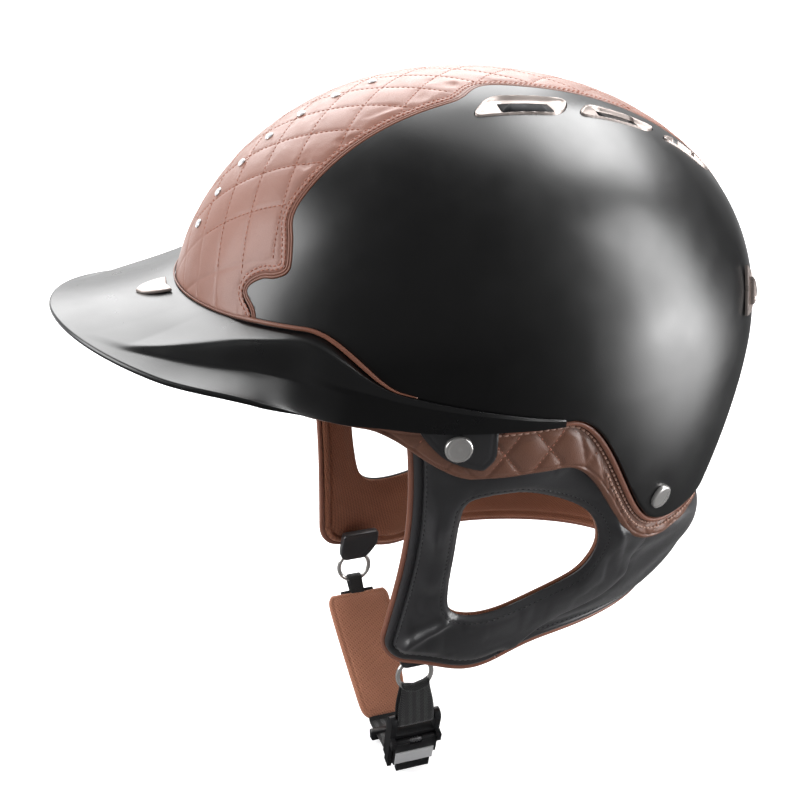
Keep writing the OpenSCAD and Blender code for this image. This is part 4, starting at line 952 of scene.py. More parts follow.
# stitches along the quilting and in two rows along the edge
seams = []
for lean in (1, -1):
    for k in range(17):
        x = np.linspace(-64, 64, 330)
        t = (k + 0.5 - lean * x / DIAMOND_WIDE) * DIAMOND_LONG - DIAMOND_START + DIAMOND_BEND * x * x
        x, t = (u[(t > -140) & (t < 185)] for u in (x, t))
        if len(x) < 5:
            continue
        y = arc_back(t)
        line = np.stack([x, y, dome_height(x, y)], -1)
        keep = (edge_gap(x, y) > 3.3) & (line[:, 2] > np.where(y < 0, 36.5, 46))
        for run in np.split(np.arange(len(x)), np.where(np.diff(keep.astype(int)) != 0)[0] + 1):
            if len(run) > 5 and keep[run[0]]:
                q, d = walk(lifted(line[run], 0.12), 2.45)
                seams.append((q, d, top_normal(q)))
rows = []
for depth, start in ((1.2, 0), (2.9, 1.1)):
    for side in (1, -1):
        line = above(inset_on_dome(GROOVE + depth), 36, 45) * [side, 1, 1]
        q, d = walk(lifted(line, 0.14), 2.4, start)
        rows.append((q, d, top_normal(q)))
v, f = join([stitches(seams, STITCH, 0.27), stitches(rows, STITCH, 0.34)])
make("crown_stitches", v, f, M_COPPER, slot="piping_leather")

# corded edge in the groove: two thin cords side by side
parts = []
for inset, radius, height in ((0.8, 0.62, -0.4), (1.95, 0.66, -0.5)):
    p = above(inset_on_dome(inset), 33.4, 43.6)
    q = walk(p + top_normal(p) * height, 0.8)[0]
    q[1:-1] = (q[:-2] + q[1:-1] + q[2:]) / 3
    parts.append(tube(q, top_normal(q), radius, 10))
pair("crown_cord", *join(parts), M_PIPING, replaces=["panel_piping"], slot="piping_leather")

# stones on the centre line: a cup and a cut stone each
cups, stones = [], []
for i in range(7):
    p = dome(-90.0, 29.1 + 7.65 * i)
    n = top_normal(p[None])[0]
    p = p + n * float(crown_form(p[None])[0])
    b, t = np.array([1.0, 0, 0]), np.cross(n, [1, 0, 0])

    def ring_at(radius, height, turn, count):
        g = np.radians(np.arange(count) * 360 / count + turn)[:, None]
        return p + n * height + radius * (np.cos(g) * b + np.sin(g) * t)
    rings = [ring_at(r, h, 0, 16) for r, h in ((2.1, 0.0), (2.2, 0.3), (2.15, 0.45), (1.95, 0.45))]
    cups.append((np.concatenate(rings + [[p + n * 0.2]]),
                 ring_quads(4, 16) + [[48 + j, 48 + (j + 1) % 16, 64] for j in range(16)]))
    rings = [ring_at(*ring, 8) for ring in ((2.1, 0.45, 0), (1.8, 0.8, 22.5), (1.2, 1.1, 0))]
    faces = [list(range(16, 24)), list(range(7, -1, -1))]
    for k, (a, b1, d, c) in enumerate(ring_quads(3, 8)):
        faces += [[a, b1, c], [b1, d, c]] if k < 8 else [[a, b1, d], [a, d, c]]
    stones.append((np.concatenate(rings), faces))
make("crystal_cups", *join(cups), M_NICKEL, slot="crystal")
make("crystal_stones", *join(stones), M_STONE, smooth=False, replaces=["crystals"], slot="crystal")


def steepness(a, level, step):
    """How much longer than its plan a line over the dome is, at plan angles a."""
    d = dome_at(a + step, level(a + step)) - dome_at(a - step, level(a - step))
    return np.sqrt(1 + (d[:, 2] / np.linalg.norm(d[:, :2], axis=1)) ** 2)


# Brim
BRIM_TIP, BRIM_REAR, BRIM_HALF = 188.0, 65.7, 115.2  # lengths in front and behind, and half width
BRIM_TOP, BRIM_EDGE, BRIM_ROOT = 35.5, 2.6, 3.8  # height at the front, thickness at the edge and the root
STRIP_OUT = 2.1  # face of the strip that wraps the shell


def strip(a):
    """From 0 at the peak to 1 on the strip that wraps the shell."""
    return ramp(fold(a), -44, -25)


def brim_root(a):
    return mix(BRIM_TOP, -1.8 - 0.57 * fold(a), strip(a))


def brim_edge(a):
    f = fold(a)
    e = 3 + 87 * np.maximum(1 - (f + 90) / 94, 0) ** 1.6
    length = BRIM_REAR + BRIM_TIP
    x = BRIM_HALF * spow(cosd(e), 2 / 1.9)
    y = BRIM_REAR - length * np.abs(sind(e)) ** (2 / 3.8)
    z = mix(-5.5, 32, ((BRIM_REAR - y) / length) ** 2.07)
    z = z + 2.2 * ramp(f, -60, -46) - 9.3 * ramp(f, -45, -31.5) + 4.0 * ramp(f, -30.5, -2)
    peak = np.stack([np.where(cosd(a) < 0, -1, 1) * x, y, z], -1)
    return mix(peak, dome_at(a, z, STRIP_OUT), strip(a)[..., None])


half = np.concatenate([np.linspace(-90, -60, 60), np.linspace(-60, 4, 121)[1:]])
a = np.concatenate([(-180 - half[::-1])[:-1], half])
s, folded, root, edge = strip(a)[:, None], fold(a)[:, None], brim_root(a), brim_edge(a)
hug = edge[:, 2] + 0.2
low = np.minimum(root - 1, mix(root - BRIM_ROOT, hug, s[:, 0]))
upper, middle, lower = (dome_at(a, z, 0.5) for z in (root, mix(root, low, 0.5), low))
under = mix(edge - [0, 0, BRIM_EDGE], dome_at(a, hug, 0.5) + 0.4 * outward(a), s)
out = np.linspace(0, 1, 72)[None]
share = mix(out, np.minimum(1, out / 0.3), s)
step_at = np.interp(folded, [-76, -69, -60, -52, -42, -30], [0.93, 0.84, 0.585, 0.38, 0.26, 0.24])
step_wide = np.interp(folded, [-78, -69, -60, -50, -40], [0.055, 0.055, 0.065, 0.085, 0.12])
step_part = np.interp(folded, [-76, -69, -62, -54, -46, -38], [0.0, 0.08, 0.34, 0.58, 0.62, 0.5])
plain = 1 - (1 - out) ** 1.6
wrapped = np.maximum(0, (out - 0.15) / 0.85)
stepped = mix(mix(plain, ramp((out - step_at) / step_wide, -1, 1), step_part), wrapped, s)
away = unit(np.where(s > 0.5, outward(a), unit((edge - upper) * [1, 1, 0])))
roll = 1.1 * (1 - s)  # radius of the rounded edge
edge_top, edge_low = edge - away * roll, under - away * roll


def brim_rows(start, end, height):
    """Rows of points from the root to the edge, on one side of the brim."""
    shares = (share, share, height)
    return np.stack([mix(start[:, k:k + 1], end[:, k:k + 1], shares[k]) for k in range(3)], -1)


top = brim_rows(upper, edge_top, stepped)
bottom = brim_rows(lower, edge_low, mix(mix(plain, wrapped, s), stepped, 0.8))
bottom[..., 2] = np.minimum(bottom[..., 2], top[..., 2] - 1.6 * (1 - s) - 0.3)
soften = (np.sin(np.pi * out) ** 0.5 * ramp(folded, -66, -54) * (1 - ramp(folded, -16, -8)))[..., None]
for _ in range(30):
    top = mix(top, smoothed(top.copy(), 1), soften)
turn = np.linspace(0, math.pi, 9)[1:-1]
lip = (mix(edge_top[:, None], edge_low[:, None], (0.5 - 0.5 * np.cos(turn))[None, :, None])
       + away[:, None] * (roll * np.sin(turn)[None])[..., None])
sections = np.concatenate([top, lip, bottom[:, ::-1], mix(lower, middle, 0.5)[:, None],
                           middle[:, None]], axis=1)
make("brim_peak", *faced(*loft(sections, sections[0].mean(0), sections[-1].mean(0))), M_BRIM,
     replaces=["brim"], slot="shell_paint", sharp=50)

# cord along the brim's root
a = np.linspace(-158, -22, 260)
wide = ramp(fold(a), -64, -57)
ends = mix(0.3, 1.0, ramp(-fold(a), 22, 33))
path = dome_at(a, brim_root(a) + mix(0.9, 1.5, wide) * ends * steepness(a, brim_root, 0.5),
               mix(0.6, 1.1, wide) * ends + 0.2)
make("brim_cord", *tube(path, outward(a), mix(0.4, 0.95, wide) * ends), M_PIPING,
     replaces=["brim_piping"], slot="piping_leather")


# Badges
def badge(w, l, rings):
    """Stepped shield, from rings of scale and height."""
    side = spline([(w, 0), (0.88 * w, -0.45 * l), (0.5 * w, -0.82 * l), (0, -l)], 10)
    top = spline([(-w, 0), (-0.5 * w, -0.03 * l), (0, -0.07 * l), (0.5 * w, -0.03 * l), (w, 0)], 10)
    s = np.concatenate([top, side[1:], (side * [-1, 1])[-2:0:-1]])
    c = np.array([0, -0.45 * l])
    rows = [np.c_[c + (s - c) * k, np.full(len(s), h)] for k, h in rings]
    return faced(*loft(rows, [*c, rings[0][1]], [*c, rings[-1][1]]))


def place(v, origin, x, y, z):
    return origin + v[:, 0:1] * x + v[:, 1:2] * y + v[:, 2:3] * z


slope = math.atan2(5.6, BRIM_TIP - F)
v, f = badge(9, 15, [(1.0, 0.0), (1.0, 0.8), (0.95, 1.2), (0.88, 1.3), (0.8, 1.2), (0.4, 1.3)])
origin = np.array([0, dome_at(-90.0, BRIM_TOP, 0.3)[1] - BRIM_ROOT, BRIM_TOP + 0.05])
v = place(v, origin, np.array([1.0, 0, 0]), np.array([0, math.cos(slope), math.sin(slope)]),
          np.array([0, -math.sin(slope), math.cos(slope)]))
make("front_shield", v, f, M_BRONZE, replaces=["front_badge"], slot="bezel_metal", sharp=25)

# the rear shields' long axes lean backwards and down on both sides
p = dome_at(55.5, 24.0)
n = top_normal(p[None])[0]
up = unit(np.array([0, 0, 1.0]) - n * n[2])
lean = math.radians(20)
long_axis = unit(unit(np.cross(up, n)) * math.cos(lean) - up * math.sin(lean))
plate = badge(12, 15, [(1.0, 0.0), (1.0, 1.0), (0.94, 1.5), (0.87, 1.6), (0.8, 1.3), (0.5, 1.35)])
crest = badge(6.6, 7.5, [(1.0, 1.2), (1.0, 3.2), (0.9, 3.7), (0.74, 3.8), (0.66, 3.3), (0.3, 3.35)])
v, f = join([plate, (crest[0] + [0, -2.55, 0], crest[1])])
v = place(v, p - long_axis * 7.5 + n * 0.3, -np.cross(-long_axis, n), -long_axis, n)
make("rear_shields", *both(v, f), M_BRONZE, replaces=["rear_badges"], slot="bezel_metal", sharp=25)

# Liner, head band and crown pad
LINER = (86.0, 103.0, 120.0, 101.0)  # half width, lengths and height of the head cavity
LINER_GAP = 3.8


def liner_low(a):
    return skirt_top(a) + 1.5


grids = dome_wall(-LINER_GAP, LINER, liner_low, 60, 240, lip=3.0)
liner = make("foam_liner", *bowl(*grids, (0, 0, H - LINER_GAP), (0, 0, LINER[3])), M_FOAM,
             replaces=["impact_liner"], slot="liner_foam")
boolean(liner, [prism(grow(slot_of(vent), 1.0) * [side, 1], PRISM_LOW, PLATE_TOP)
                for vent in VENTS.values() for side in (1, -1)], sharp=40)

a = np.linspace(-90, 270, 420, endpoint=False)
t = np.linspace(0, 1, 40)[:, None]
z = liner_low(a)[None] + 1 + 34 * t
cell = np.abs(np.sin(np.pi * 1.7 * np.arange(1, 421) / 21.0))[None]
thick = 1.4 + 6.4 * np.sqrt(np.maximum(0, 1 - np.abs(2 * t - 1) ** 3)) * (0.78 + 0.22 * cell ** 0.5)
inner = dome_at(a[None], z, -0.7 - thick, LINER)
make("sweat_band", *solid(dome_at(a[None], z, -0.7, LINER), inner, True), M_PAD, uv=grid_uv(inner),
     replaces=["head_band"], slot="mesh_fabric", padded=0.7)
a = np.linspace(-90, 270, 160, endpoint=False)
t = np.linspace(0, 1, 36)[:, None]
p = mix(64.0, 87.5, t)
lobes = np.abs(sind(a * 4))[None] ** 0.5
thick = mix(1.4, 7.7, np.sqrt(1 - (1 - t) ** 3)) * (0.86 + 0.14 * mix(lobes, 1, t))
outer, inner = (dome(a[None], p, -0.5 - d, LINER) for d in (0, thick))
uv = np.concatenate([outer[..., :2].reshape(-1, 2), inner[..., :2].reshape(-1, 2), [[0, 0], [0, 0]]]) * 0.1
make("crown_cushion", *faced(*bowl(outer, inner, (0, 0, LINER[3] - 0.5), (0, 0, SEAT))), M_PAD, uv=uv,
     replaces=["crown_pad"], slot="mesh_fabric", padded=0.7)

# Skirt with quilting
SKIRT_THICK, SKIRT_WIDE, SKIRT_LONG = 4.0, 21.0, 27.0  # thickness, width and length of a diamond
SKIRT_CELL = 1 / math.hypot(1 / SKIRT_WIDE, 1 / SKIRT_LONG)
a = np.linspace(-90, 270, 900, endpoint=False)
t = np.concatenate([np.linspace(0, 0.06, 6)[:-1], np.linspace(0.06, 1, 54)])[:, None]
knee = rim(a) - 1
z = np.where(t < 0.7, mix(skirt_bottom(a), knee, t / 0.7), mix(knee, skirt_top(a), (t - 0.7) / 0.3))
face = dome_at(a[None], z, -SKIRT_OUT)
ring = dome_at(a, rim(a), -SKIRT_OUT)
arc = run_length(ring)
total = arc[-1] + np.linalg.norm(ring[0] - ring[-1])
cells = round(total / SKIRT_WIDE)
below = distance_to(face, np.concatenate([ring, ring[:1]])) * np.where(z < rim(a), 1, -1)
gap = distance_to(face, np.concatenate([face[0], face[:1, 0]]))
seams = (arc / total * cells + below / SKIRT_LONG, arc / total * cells - below / SKIRT_LONG)
d1, d2 = (np.abs(c - np.round(c)) * SKIRT_CELL for c in seams)
puff = quilted(d1, d2, SKIRT_CELL, 0.6, 1.05) * mix(0.15, 1, ramp(below, 4.5, 8) * ramp(gap, 0.8, 3.2))
form = (puff * (below > 0) - 0.15 - 0.35 * bell(below, 3.4, 0.6) + 0.3 * bell(below, 1.6, 1.0)
        + 0.35 * bell(gap, 1.2, 0.6) - 0.3 * bell(gap, 2.4, 0.5) - 1.6 * soft_edge(gap, 1.6)
        + noise(face, 10.0) * 0.22)
v, f = solid(dome_at(a[None], z, form - SKIRT_OUT),
             dome_at(a[None], z, -SKIRT_OUT - SKIRT_THICK + 1.2 * (1 - ramp(gap, 0, 1.6))), True)
make("quilted_skirt", *faced(v, f), M_SKIRT, replaces=["skirt"], slot="skirt_leather", padded=0.5)

# its stitches
fine = np.linspace(-90, 270, 2400, endpoint=False)
ring = dome_at(fine, rim(fine), -SKIRT_OUT)
ring_arc = run_length(ring)
along = unit(np.roll(ring, -1, 0) - np.roll(ring, 1, 0))


def skirt_point(s, depth):
    """Points on the skirt at arc lengths and depths below the rim, with their plan angles."""
    c = np.interp(np.mod(s, total), ring_arc, fine)
    down = unit(np.cross(at_lengths(along, fine, c), outward(c)))
    down = np.where(down[..., 2:3] > 0, -down, down)
    q = dome_at(c, rim(c), -SKIRT_OUT) + down * depth[..., None]
    x, y = q[..., 0] / W, q[..., 1] / length_of(q[..., 1])
    angle = np.degrees(np.arctan2(spow(y, PN / 2), spow(x, PN / 2)))
    return dome_at(angle, q[..., 2], 0.1 - SKIRT_OUT), angle


rows = []
for k in range(cells):
    for lean in (1, -1):
        depth = np.linspace(5.2, 26, 60)
        line, angle = skirt_point((k / cells - lean * depth / SKIRT_LONG / cells) * total, depth)
        ok = line[:, 2] > skirt_bottom(angle) + 2.6
        if ok.sum() > 8:
            q, d = walk(line[ok], 2.4)
            rows.append((q - outward(plan_angle(q)) * 0.15, d, outward(plan_angle(q))))
make("skirt_diamond_stitches", *stitches(rows, 1.7, 0.3), M_COPPER, slot="skirt_leather")
rows = []
for depth, lift, front, rear in ((3.7, 0.45, -9, 90), (6.4, 0.8, 14, 90)):
    line, angle = skirt_point(np.linspace(0, total, 2600), np.full(2600, depth))
    shown = (fold(angle) > front) & (fold(angle) <= rear)
    for left in (True, False):
        part = line[shown & ((line[:, 0] > 0) == left)]
        for run in np.split(part, np.where(np.linalg.norm(np.diff(part, axis=0), axis=1) > 5)[0] + 1):
            if len(run) > 4:
                q, d = walk(run, 3.1)
                rows.append((q + outward(plan_angle(q)) * lift, d, outward(plan_angle(q))))
make("skirt_row_stitches", *stitches(rows, 2.3, 0.5), M_PINK, slot="skirt_leather")

# welt under the shell's rim
a = np.linspace(-6, 186, 520)
path = dome_at(a, rim(a) - 1.5 * steepness(a, rim, 0.3), -1.8)
make("rim_welt", *tube(path, outward(a), 1.25), M_PIPING, replaces=["skirt_welt"], slot="piping_leather")

# Harness
EAR = spline([(-27, -60), (-25.5, -48), (-18, -44), (0, -44), (18, -51), (34, -61), (43, -73),
              (47, -88), (43.5, -102), (34, -110), (15, -117), (-4, -121), (-18, -120), (-25, -114),
              (-27, -100), (-27, -80)], 7, closed=True)
LEATHER, ROUND = 2.2, 1.9  # thickness of the leather, and radius of its edges
CORD, CORD_SINK = 1.5, 1.9  # radius of the cords, and their depth inside the leather's face
SIDE_FROM, SIDE_TO = 20, 220  # from where to where prisms along X cut
STITCH_RISE = 0.12  # height of the threads over the leather


def collar(a, s, off, low):
    """Point of the harness, from the skirt (s = 0) to its low edge (s = 1), off inside its face."""
    a, s, off, low = np.broadcast_arrays(a, s, off, low)
    top, knee, end = skirt_top(a) - 4, rim(a) - 1, skirt_bottom(a) - 0.5
    z = np.where(s < 0.12, mix(top, knee, s / 0.12), mix(knee, end, (s - 0.12) / 0.13))
    x, y = outline(a, 66 - off, 118 - off, 120 - off)
    t = np.clip((s - 0.25) / 0.75, 0, 1)
    q = mix(dome_at(a, end, -SKIRT_IN - off), np.stack([x, y, low], -1), t[..., None])
    bulge = 9 * ramp(fold(a), 30, 60) * sind(180 * t ** 0.6)
    return np.where((s <= 0.25)[..., None], dome_at(a, z, -SKIRT_IN - off), q + bulge[..., None] * outward(a))


def flap_front(s):
    return -26 + 4 * sind(180 * s)


def flap_rear(s):
    return 33 - 3 * s - 28 * np.maximum(0, (s - 0.55) / 0.45) ** 2.4


def corner_lift(angle):
    """Rise of the low edge at the flap's rounded front corner."""
    d = np.minimum(12, (angle - flap_front(1.0)) * 118 * math.pi / 180)
    return 12 - np.sqrt(np.maximum(0, 144 - (12 - d) ** 2))


def flap_point(s, w, off):
    """s runs down from the top, w back from the front edge, off is depth below the leather."""
    angle = mix(flap_front(s), flap_rear(s), w)
    lift = corner_lift(mix(flap_front(1.0), flap_rear(1.0), w))
    return collar(angle, s, off, harness_low(angle) + lift)


def neck_point(s, w, off):
    r = flap_rear(s) + 0.25
    angle = mix(r, 180 - r, w)
    return collar(angle, s, off, harness_low(angle))


def edge_cord(points):
    """Cord along an edge, just outside it."""
    angle = plan_angle(points)
    t = unit(np.gradient(points, axis=0))
    return tube(points + unit(np.cross(t, outward(angle))), outward(angle), CORD)


def crossings(grid, field, value, mask):
    """Points where a field passes a value, along the rows of a grid."""
    i, c = np.where(((field[:, :-1] - value) * (field[:, 1:] - value) < 0) & mask[:, :-1])
    t = (value - field[i, c]) / (field[i, c + 1] - field[i, c])
    return mix(grid[i, c], grid[i, c + 1], t[:, None])


def surface_stitches(grid, field_rows, length_y):
    """Rows of stitches where distance fields over a grid have given values."""
    rows = []
    for field, value, mask in field_rows:
        left = np.concatenate([crossings(grid, field, value, mask),
                               crossings(grid.transpose(1, 0, 2), field.T, value, mask.T)])
        while len(left) > 6:
            nearest, chain = np.argmax(left @ np.array([0.3, -1.0, 0.5])), []
            while True:
                chain.append(left[nearest])
                left = np.delete(left, nearest, 0)
                if not len(left):
                    break
                d = np.linalg.norm(left - chain[-1], axis=1)
                nearest = int(np.argmin(d))
                if d[nearest] > 4.0:
                    break
            if len(chain) > 8:
                p, d = walk(smoothed(np.array(chain), 4), 2.9)
                n = unit(p * [1, 1, 0] / [W ** 2, length_y ** 2, 1])
                rows.append((p + n * STITCH_RISE, d, n))
    return stitches(rows, 1.9, 0.26)


s = np.linspace(0, 1, 190)[:, None]
w = (np.linspace(0, 1, 190) ** 1.15)[None]
flat = flap_point(s, w, 0.0)
line, one = np.linspace(0, 1, 160), np.ones(160)
d_front, d_low, d_seam = (distance_to(flat, flap_point(*at, 0.0))
                          for at in ((line, 0 * one), (one, line ** 1.15), (line, one)))
y, z = flat[..., 1], flat[..., 2]
d_ear = distance_to(flat[..., 1:], EAR, True) * np.where(inside(flat[..., 1:], EAR), -1, 1)
d_edge = np.minimum(d_front, d_low)
wrinkles = (noise(flat, 30) * 1.5 + noise(flat * [1, 0.8, 1.3], 15) * 1.1
            + 0.7 * np.maximum(0, noise(flat * [1, 1.5, 0.8], 11)))
hold = ramp(np.minimum(np.abs(d_ear), d_edge - 5), 0, 7)
swell = np.clip(np.minimum(np.minimum(d_ear - 1, d_edge - 4.6), d_seam + 2) / 12.5, 0, 1)
# height, depth at a level, lean and width of each fold, and its middle level and reach
folds = sum(h * bell(y, y0 + lean * (z - z0), wide) * bell(z, mid, reach)
            for h, y0, z0, lean, wide, mid, reach in ((3.0, -41, -60, -0.45, 4.4, -58, 12),
                                                      (2.8, -34, -128, 1.1, 4.4, -126, 14),
                                                      (2.2, 52, -78, -0.35, 3.6, -82, 18)))
rise = (3.0 * np.sqrt(1 - (1 - swell) ** 2) + (1.5 * wrinkles + 1.3 * folds) * hold
        - 1.1 * bell(d_edge, 4.4, 0.75) - 0.35 * bell(d_ear, 3.4, 0.6) - 0.6 * bell(d_seam, 0, 0.9)
        + 0.55 * bell(d_edge, 2.3, 1.4))
gap = np.minimum(d_edge, np.maximum(d_ear, 0))
turned = soft_edge(gap, ROUND)
outer = flap_point(s, w, 1.1 * turned - rise * (1 - turned))
flaps = pair("ear_flap", *faced(*solid(outer, flap_point(s, w, LEATHER - turned))), M_BLACK_LEATHER,
             replaces=["flap"], slot="black_leather", padded=0.4)
cut_both(flaps, EAR, SIDE_FROM, SIDE_TO, sharp=50, along_x=True)

# lining: mesh over thin foam, with a corded ridge along its edge
swell = (1.5 * ramp(gap, 0, 9) + noise(flat, 24) * 0.4 * hold - 1.0 * bell(d_edge, 4.2, 0.8)
         + 0.5 * bell(d_edge, 2.2, 1.3))
turned = soft_edge(gap, ROUND + 0.3)
v, f = solid(flap_point(s, w, LINING_FROM + 0.1 + turned),
             flap_point(s, w, LINING_TO + swell * (1 - turned) - 1.3 * turned))
linings = pair("flap_mesh_lining", *faced(v, f), M_LINING, uv=grid_uv(flat), replaces=["flap_lining"],
               slot="mesh_fabric", padded=0.5)
cut_both(linings, EAR, SIDE_FROM, SIDE_TO, sharp=50, along_x=True)

# corded edge and stitches of the flaps
down, back = np.linspace(0.19, 0.995, 130), 1.006 * np.linspace(0, 1, 200) ** 1.15
path = np.concatenate([flap_point(down, 0 * down, CORD_SINK), flap_point(0 * back + 1, back, CORD_SINK)])
pair("flap_cord", *edge_cord(smoothed(walk(path, 1.2, ends=True)[0], 3)), M_PIPING,
     replaces=["flap_piping"], slot="piping_leather")
v, f = surface_stitches(outer, ((d_ear, 3.4, (d_edge > 6) & (s > 0.2)),
                                (d_edge, 5.9, (d_ear > 4) & (s > 0.26))), F)
pair("flap_stitches", v, f, M_GREY, slot="black_leather")

# neck band: soft folds that leave the seam and sweep down and back
s = np.linspace(0, 1, 150)[:, None]
w = np.linspace(0, 1, 420)[None]
flat = neck_point(s, w, 0.0)
x, z = np.abs(flat[..., 0]), flat[..., 2]
d_low = distance_to(flat, neck_point(np.ones(200), np.linspace(0, 1, 200), 0.0))
d_seam = np.minimum(*(distance_to(flat, neck_point(line, k * one, 0.0)) for k in (0, 1)))
folds = (2.1 * np.sin((z + 0.55 * (75 - x) + 6 * noise(flat * [0, 1, 1], 40)) / 5.2) * bell(d_seam, 16, 17)
         + 0.9 * np.sin((z * 0.7 + x * 0.5) / 4.1 + 2 * noise(flat * [0, 1, 1], 22))
         * ramp(d_seam, 6, 30) * (0.5 + 0.5 * noise(flat * [0, 1, 1], 33))
         + 0.35 * np.sin(z / 1.6) * bell(d_seam, 0, 5.0) + noise(flat, 26) * 0.7)
hold = ramp(np.clip((s - 0.25) / 0.75, 0, 1), 0.02, 0.2) * ramp(d_low, 3, 11)
rise = (folds * hold - 0.6 * bell(d_seam, 0, 0.9) - 0.8 * bell(d_low, 4.4, 0.75)
        + 0.5 * ramp(np.minimum(d_seam, d_low - 4), 0, 8) + 0.4 * bell(d_low, 2.3, 1.4))
turned = soft_edge(d_low, ROUND)
outer = neck_point(s, w, 1.1 * turned - rise * (1 - turned))
make("nape_leather", *faced(*solid(outer, neck_point(s, w, LEATHER - turned))), M_BLACK_LEATHER,
     replaces=["neck_band"], slot="black_leather", padded=0.4)
swell = 1.3 * ramp(d_low, 0, 9) + noise(flat, 24) * 0.5 - 0.9 * bell(d_low, 4.2, 0.8)
turned = soft_edge(d_low, ROUND + 0.3)
v, f = solid(neck_point(s, w, LINING_FROM + 0.1 + turned),
             neck_point(s, w, LINING_TO + swell * (1 - turned) - 1.3 * turned))
make("nape_mesh_lining", *faced(v, f), M_LINING, uv=grid_uv(flat), replaces=["neck_lining"],
     slot="mesh_fabric", padded=0.5)
path = walk(neck_point(np.ones(400), np.linspace(0, 1, 400), CORD_SINK), 1.2, ends=True)[0]
make("nape_cord", *edge_cord(path), M_PIPING, replaces=["neck_piping"], slot="piping_leather")
make("nape_stitches", *surface_stitches(outer, ((d_low, 5.9, (s > 0.3) & (d_seam > 3)),), R), M_GREY,
     slot="black_leather")

# Tabs and rivets
TAB = spline([(-50, -1), (-49, -7), (-39, -18.5), (-25, -24.5), (-21, -23), (-18, -19), (-17.5, -12),
              (-17, -1)], 5)
TAB_OUT = 1.2  # the tab's face, inside the shell's face
a = np.linspace(-27, -6, 70)[None]
z = mix(-30.0, rim(a) - 0.3, np.linspace(0, 1, 60)[:, None])
gap = distance_to(dome_at(a, z, -TAB_OUT)[..., 1:], TAB)
form = -TAB_OUT - 0.7 * soft_edge(gap, 1.2) - 0.25 * bell(gap, 2.2, 0.5)
v, f = solid(dome_at(a, z, form), dome_at(a, z, -3.0))
tabs = pair("anchor_patch", *faced(v, f), M_BLACK_LEATHER, replaces=["anchor_tab"], slot="webbing")
cut_both(tabs, TAB, 60, 200, "INTERSECT", 50, True)


def rivets(name, a, level, seat, profile):
    """A pair of rivet heads on the shell."""
    v, f = lathe(profile)
    p, q = dome_at(a, level), dome_at(a, level - 1.0)
    lean = math.atan2(np.linalg.norm(p[:2]) - np.linalg.norm(q[:2]), 1)
    n = unit(outward(np.float64(a)) * math.cos(lean) + np.array([0, 0, -math.sin(lean)]))
    x = unit(np.cross([0, 0, 1.0], n))
    v, f = faced(place(v, p + n * (seat + 0.45), x, np.cross(n, x), n), f)
    make(name, *both(v, f), M_NICKEL, slot="nickel", sharp=40)


rivets("rivet_heads_front", -14.5, -13.0, -TAB_OUT,
       [(5.7, 0.0), (6.0, 0.25), (6.0, 0.9), (5.75, 1.4), (5.3, 1.72), (4.85, 1.78), (4.5, 1.7),
        (4.3, 1.56), (4.1, 1.5), (3.0, 1.5), (1.5, 1.52)])
rivets("rivet_heads_rear", 28.0, -60.0, 0.0,
       [(5.7, 0.0), (6.0, 0.25), (6.0, 1.1), (5.85, 1.5), (5.4, 1.8), (4.6, 1.95), (2.0, 2.02)])

# Straps
RING_Z, RING_Y, RING_X, RING_R = -165.0, -34.5, 54.0, 9.0  # middle and radius of the rings' wire
FALL, SLOPE = 17.0, 42.0  # slopes of the buckle and of the chin pad, in degrees
BUCKLE_BAR = 109  # distance of the buckle's bars from the far ring


def strap_place(x, z, slope):
    """X and height of a point x along a slope from the far ring and z over it."""
    c, s = cosd(slope), sind(slope)
    return np.stack([-RING_X + x * c + z * s, RING_Z - RING_R - x * s + z * c], -1)


def belt(c0, r0, c1, r1):
    """Closed path round two circles, in the X-Z plane."""
    length = np.linalg.norm(c1 - c0)
    u = (c1 - c0) / length
    p = np.array([-u[1], u[0]])
    turn = math.acos((r0 - r1) / length)
    t = np.linspace(0, 1, 15)
    arcs = ((c0, r0, turn + (2 * math.pi - 2 * turn) * t), (c1, r1, 2 * turn * t - turn))
    return np.concatenate([c + r * (np.cos(g)[:, None] * u + np.sin(g)[:, None] * p) for c, r, g in arcs])


def sag(y):
    """How far a ring's wire is above its lowest point, at y from its middle."""
    return RING_R - np.sqrt(np.maximum(RING_R ** 2 - y * y, 0))


def ribbon(name, path, thick, half, body, closed=False, replaces=(), curve=0.0):
    """Flat strap along a path in the X-Z plane; curve is its share of the ring's curve."""
    n, count = len(path), 24
    t = unit(np.roll(path, -1, 0) - np.roll(path, 1, 0)) if closed else unit(np.gradient(path, axis=0))
    g = 2 * math.pi * np.arange(count) / count
    y = spow(np.cos(g), 0.28) * np.broadcast_to(half, n)[:, None]
    off = spow(np.sin(g), 0.75) * thick / 2
    lift = sag(y) * np.broadcast_to(curve, n)[:, None]
    v = np.stack([path[:, 0:1] - t[:, 1:2] * off, RING_Y + y, path[:, 1:2] + t[:, 0:1] * off + lift], -1)
    uv = np.stack([y, np.broadcast_to(run_length(path)[:, None], y.shape)], -1) * 0.1
    faces = ring_quads(n, count, closed)
    if not closed:
        faces += [list(range(count))[::-1], [(n - 1) * count + k for k in range(count)]]
    make(name, *faced(v.reshape(-1, 3), faces), M_WEB, body=body, uv=uv.reshape(-1, 2), replaces=replaces,
         slot="webbing", sharp=60)


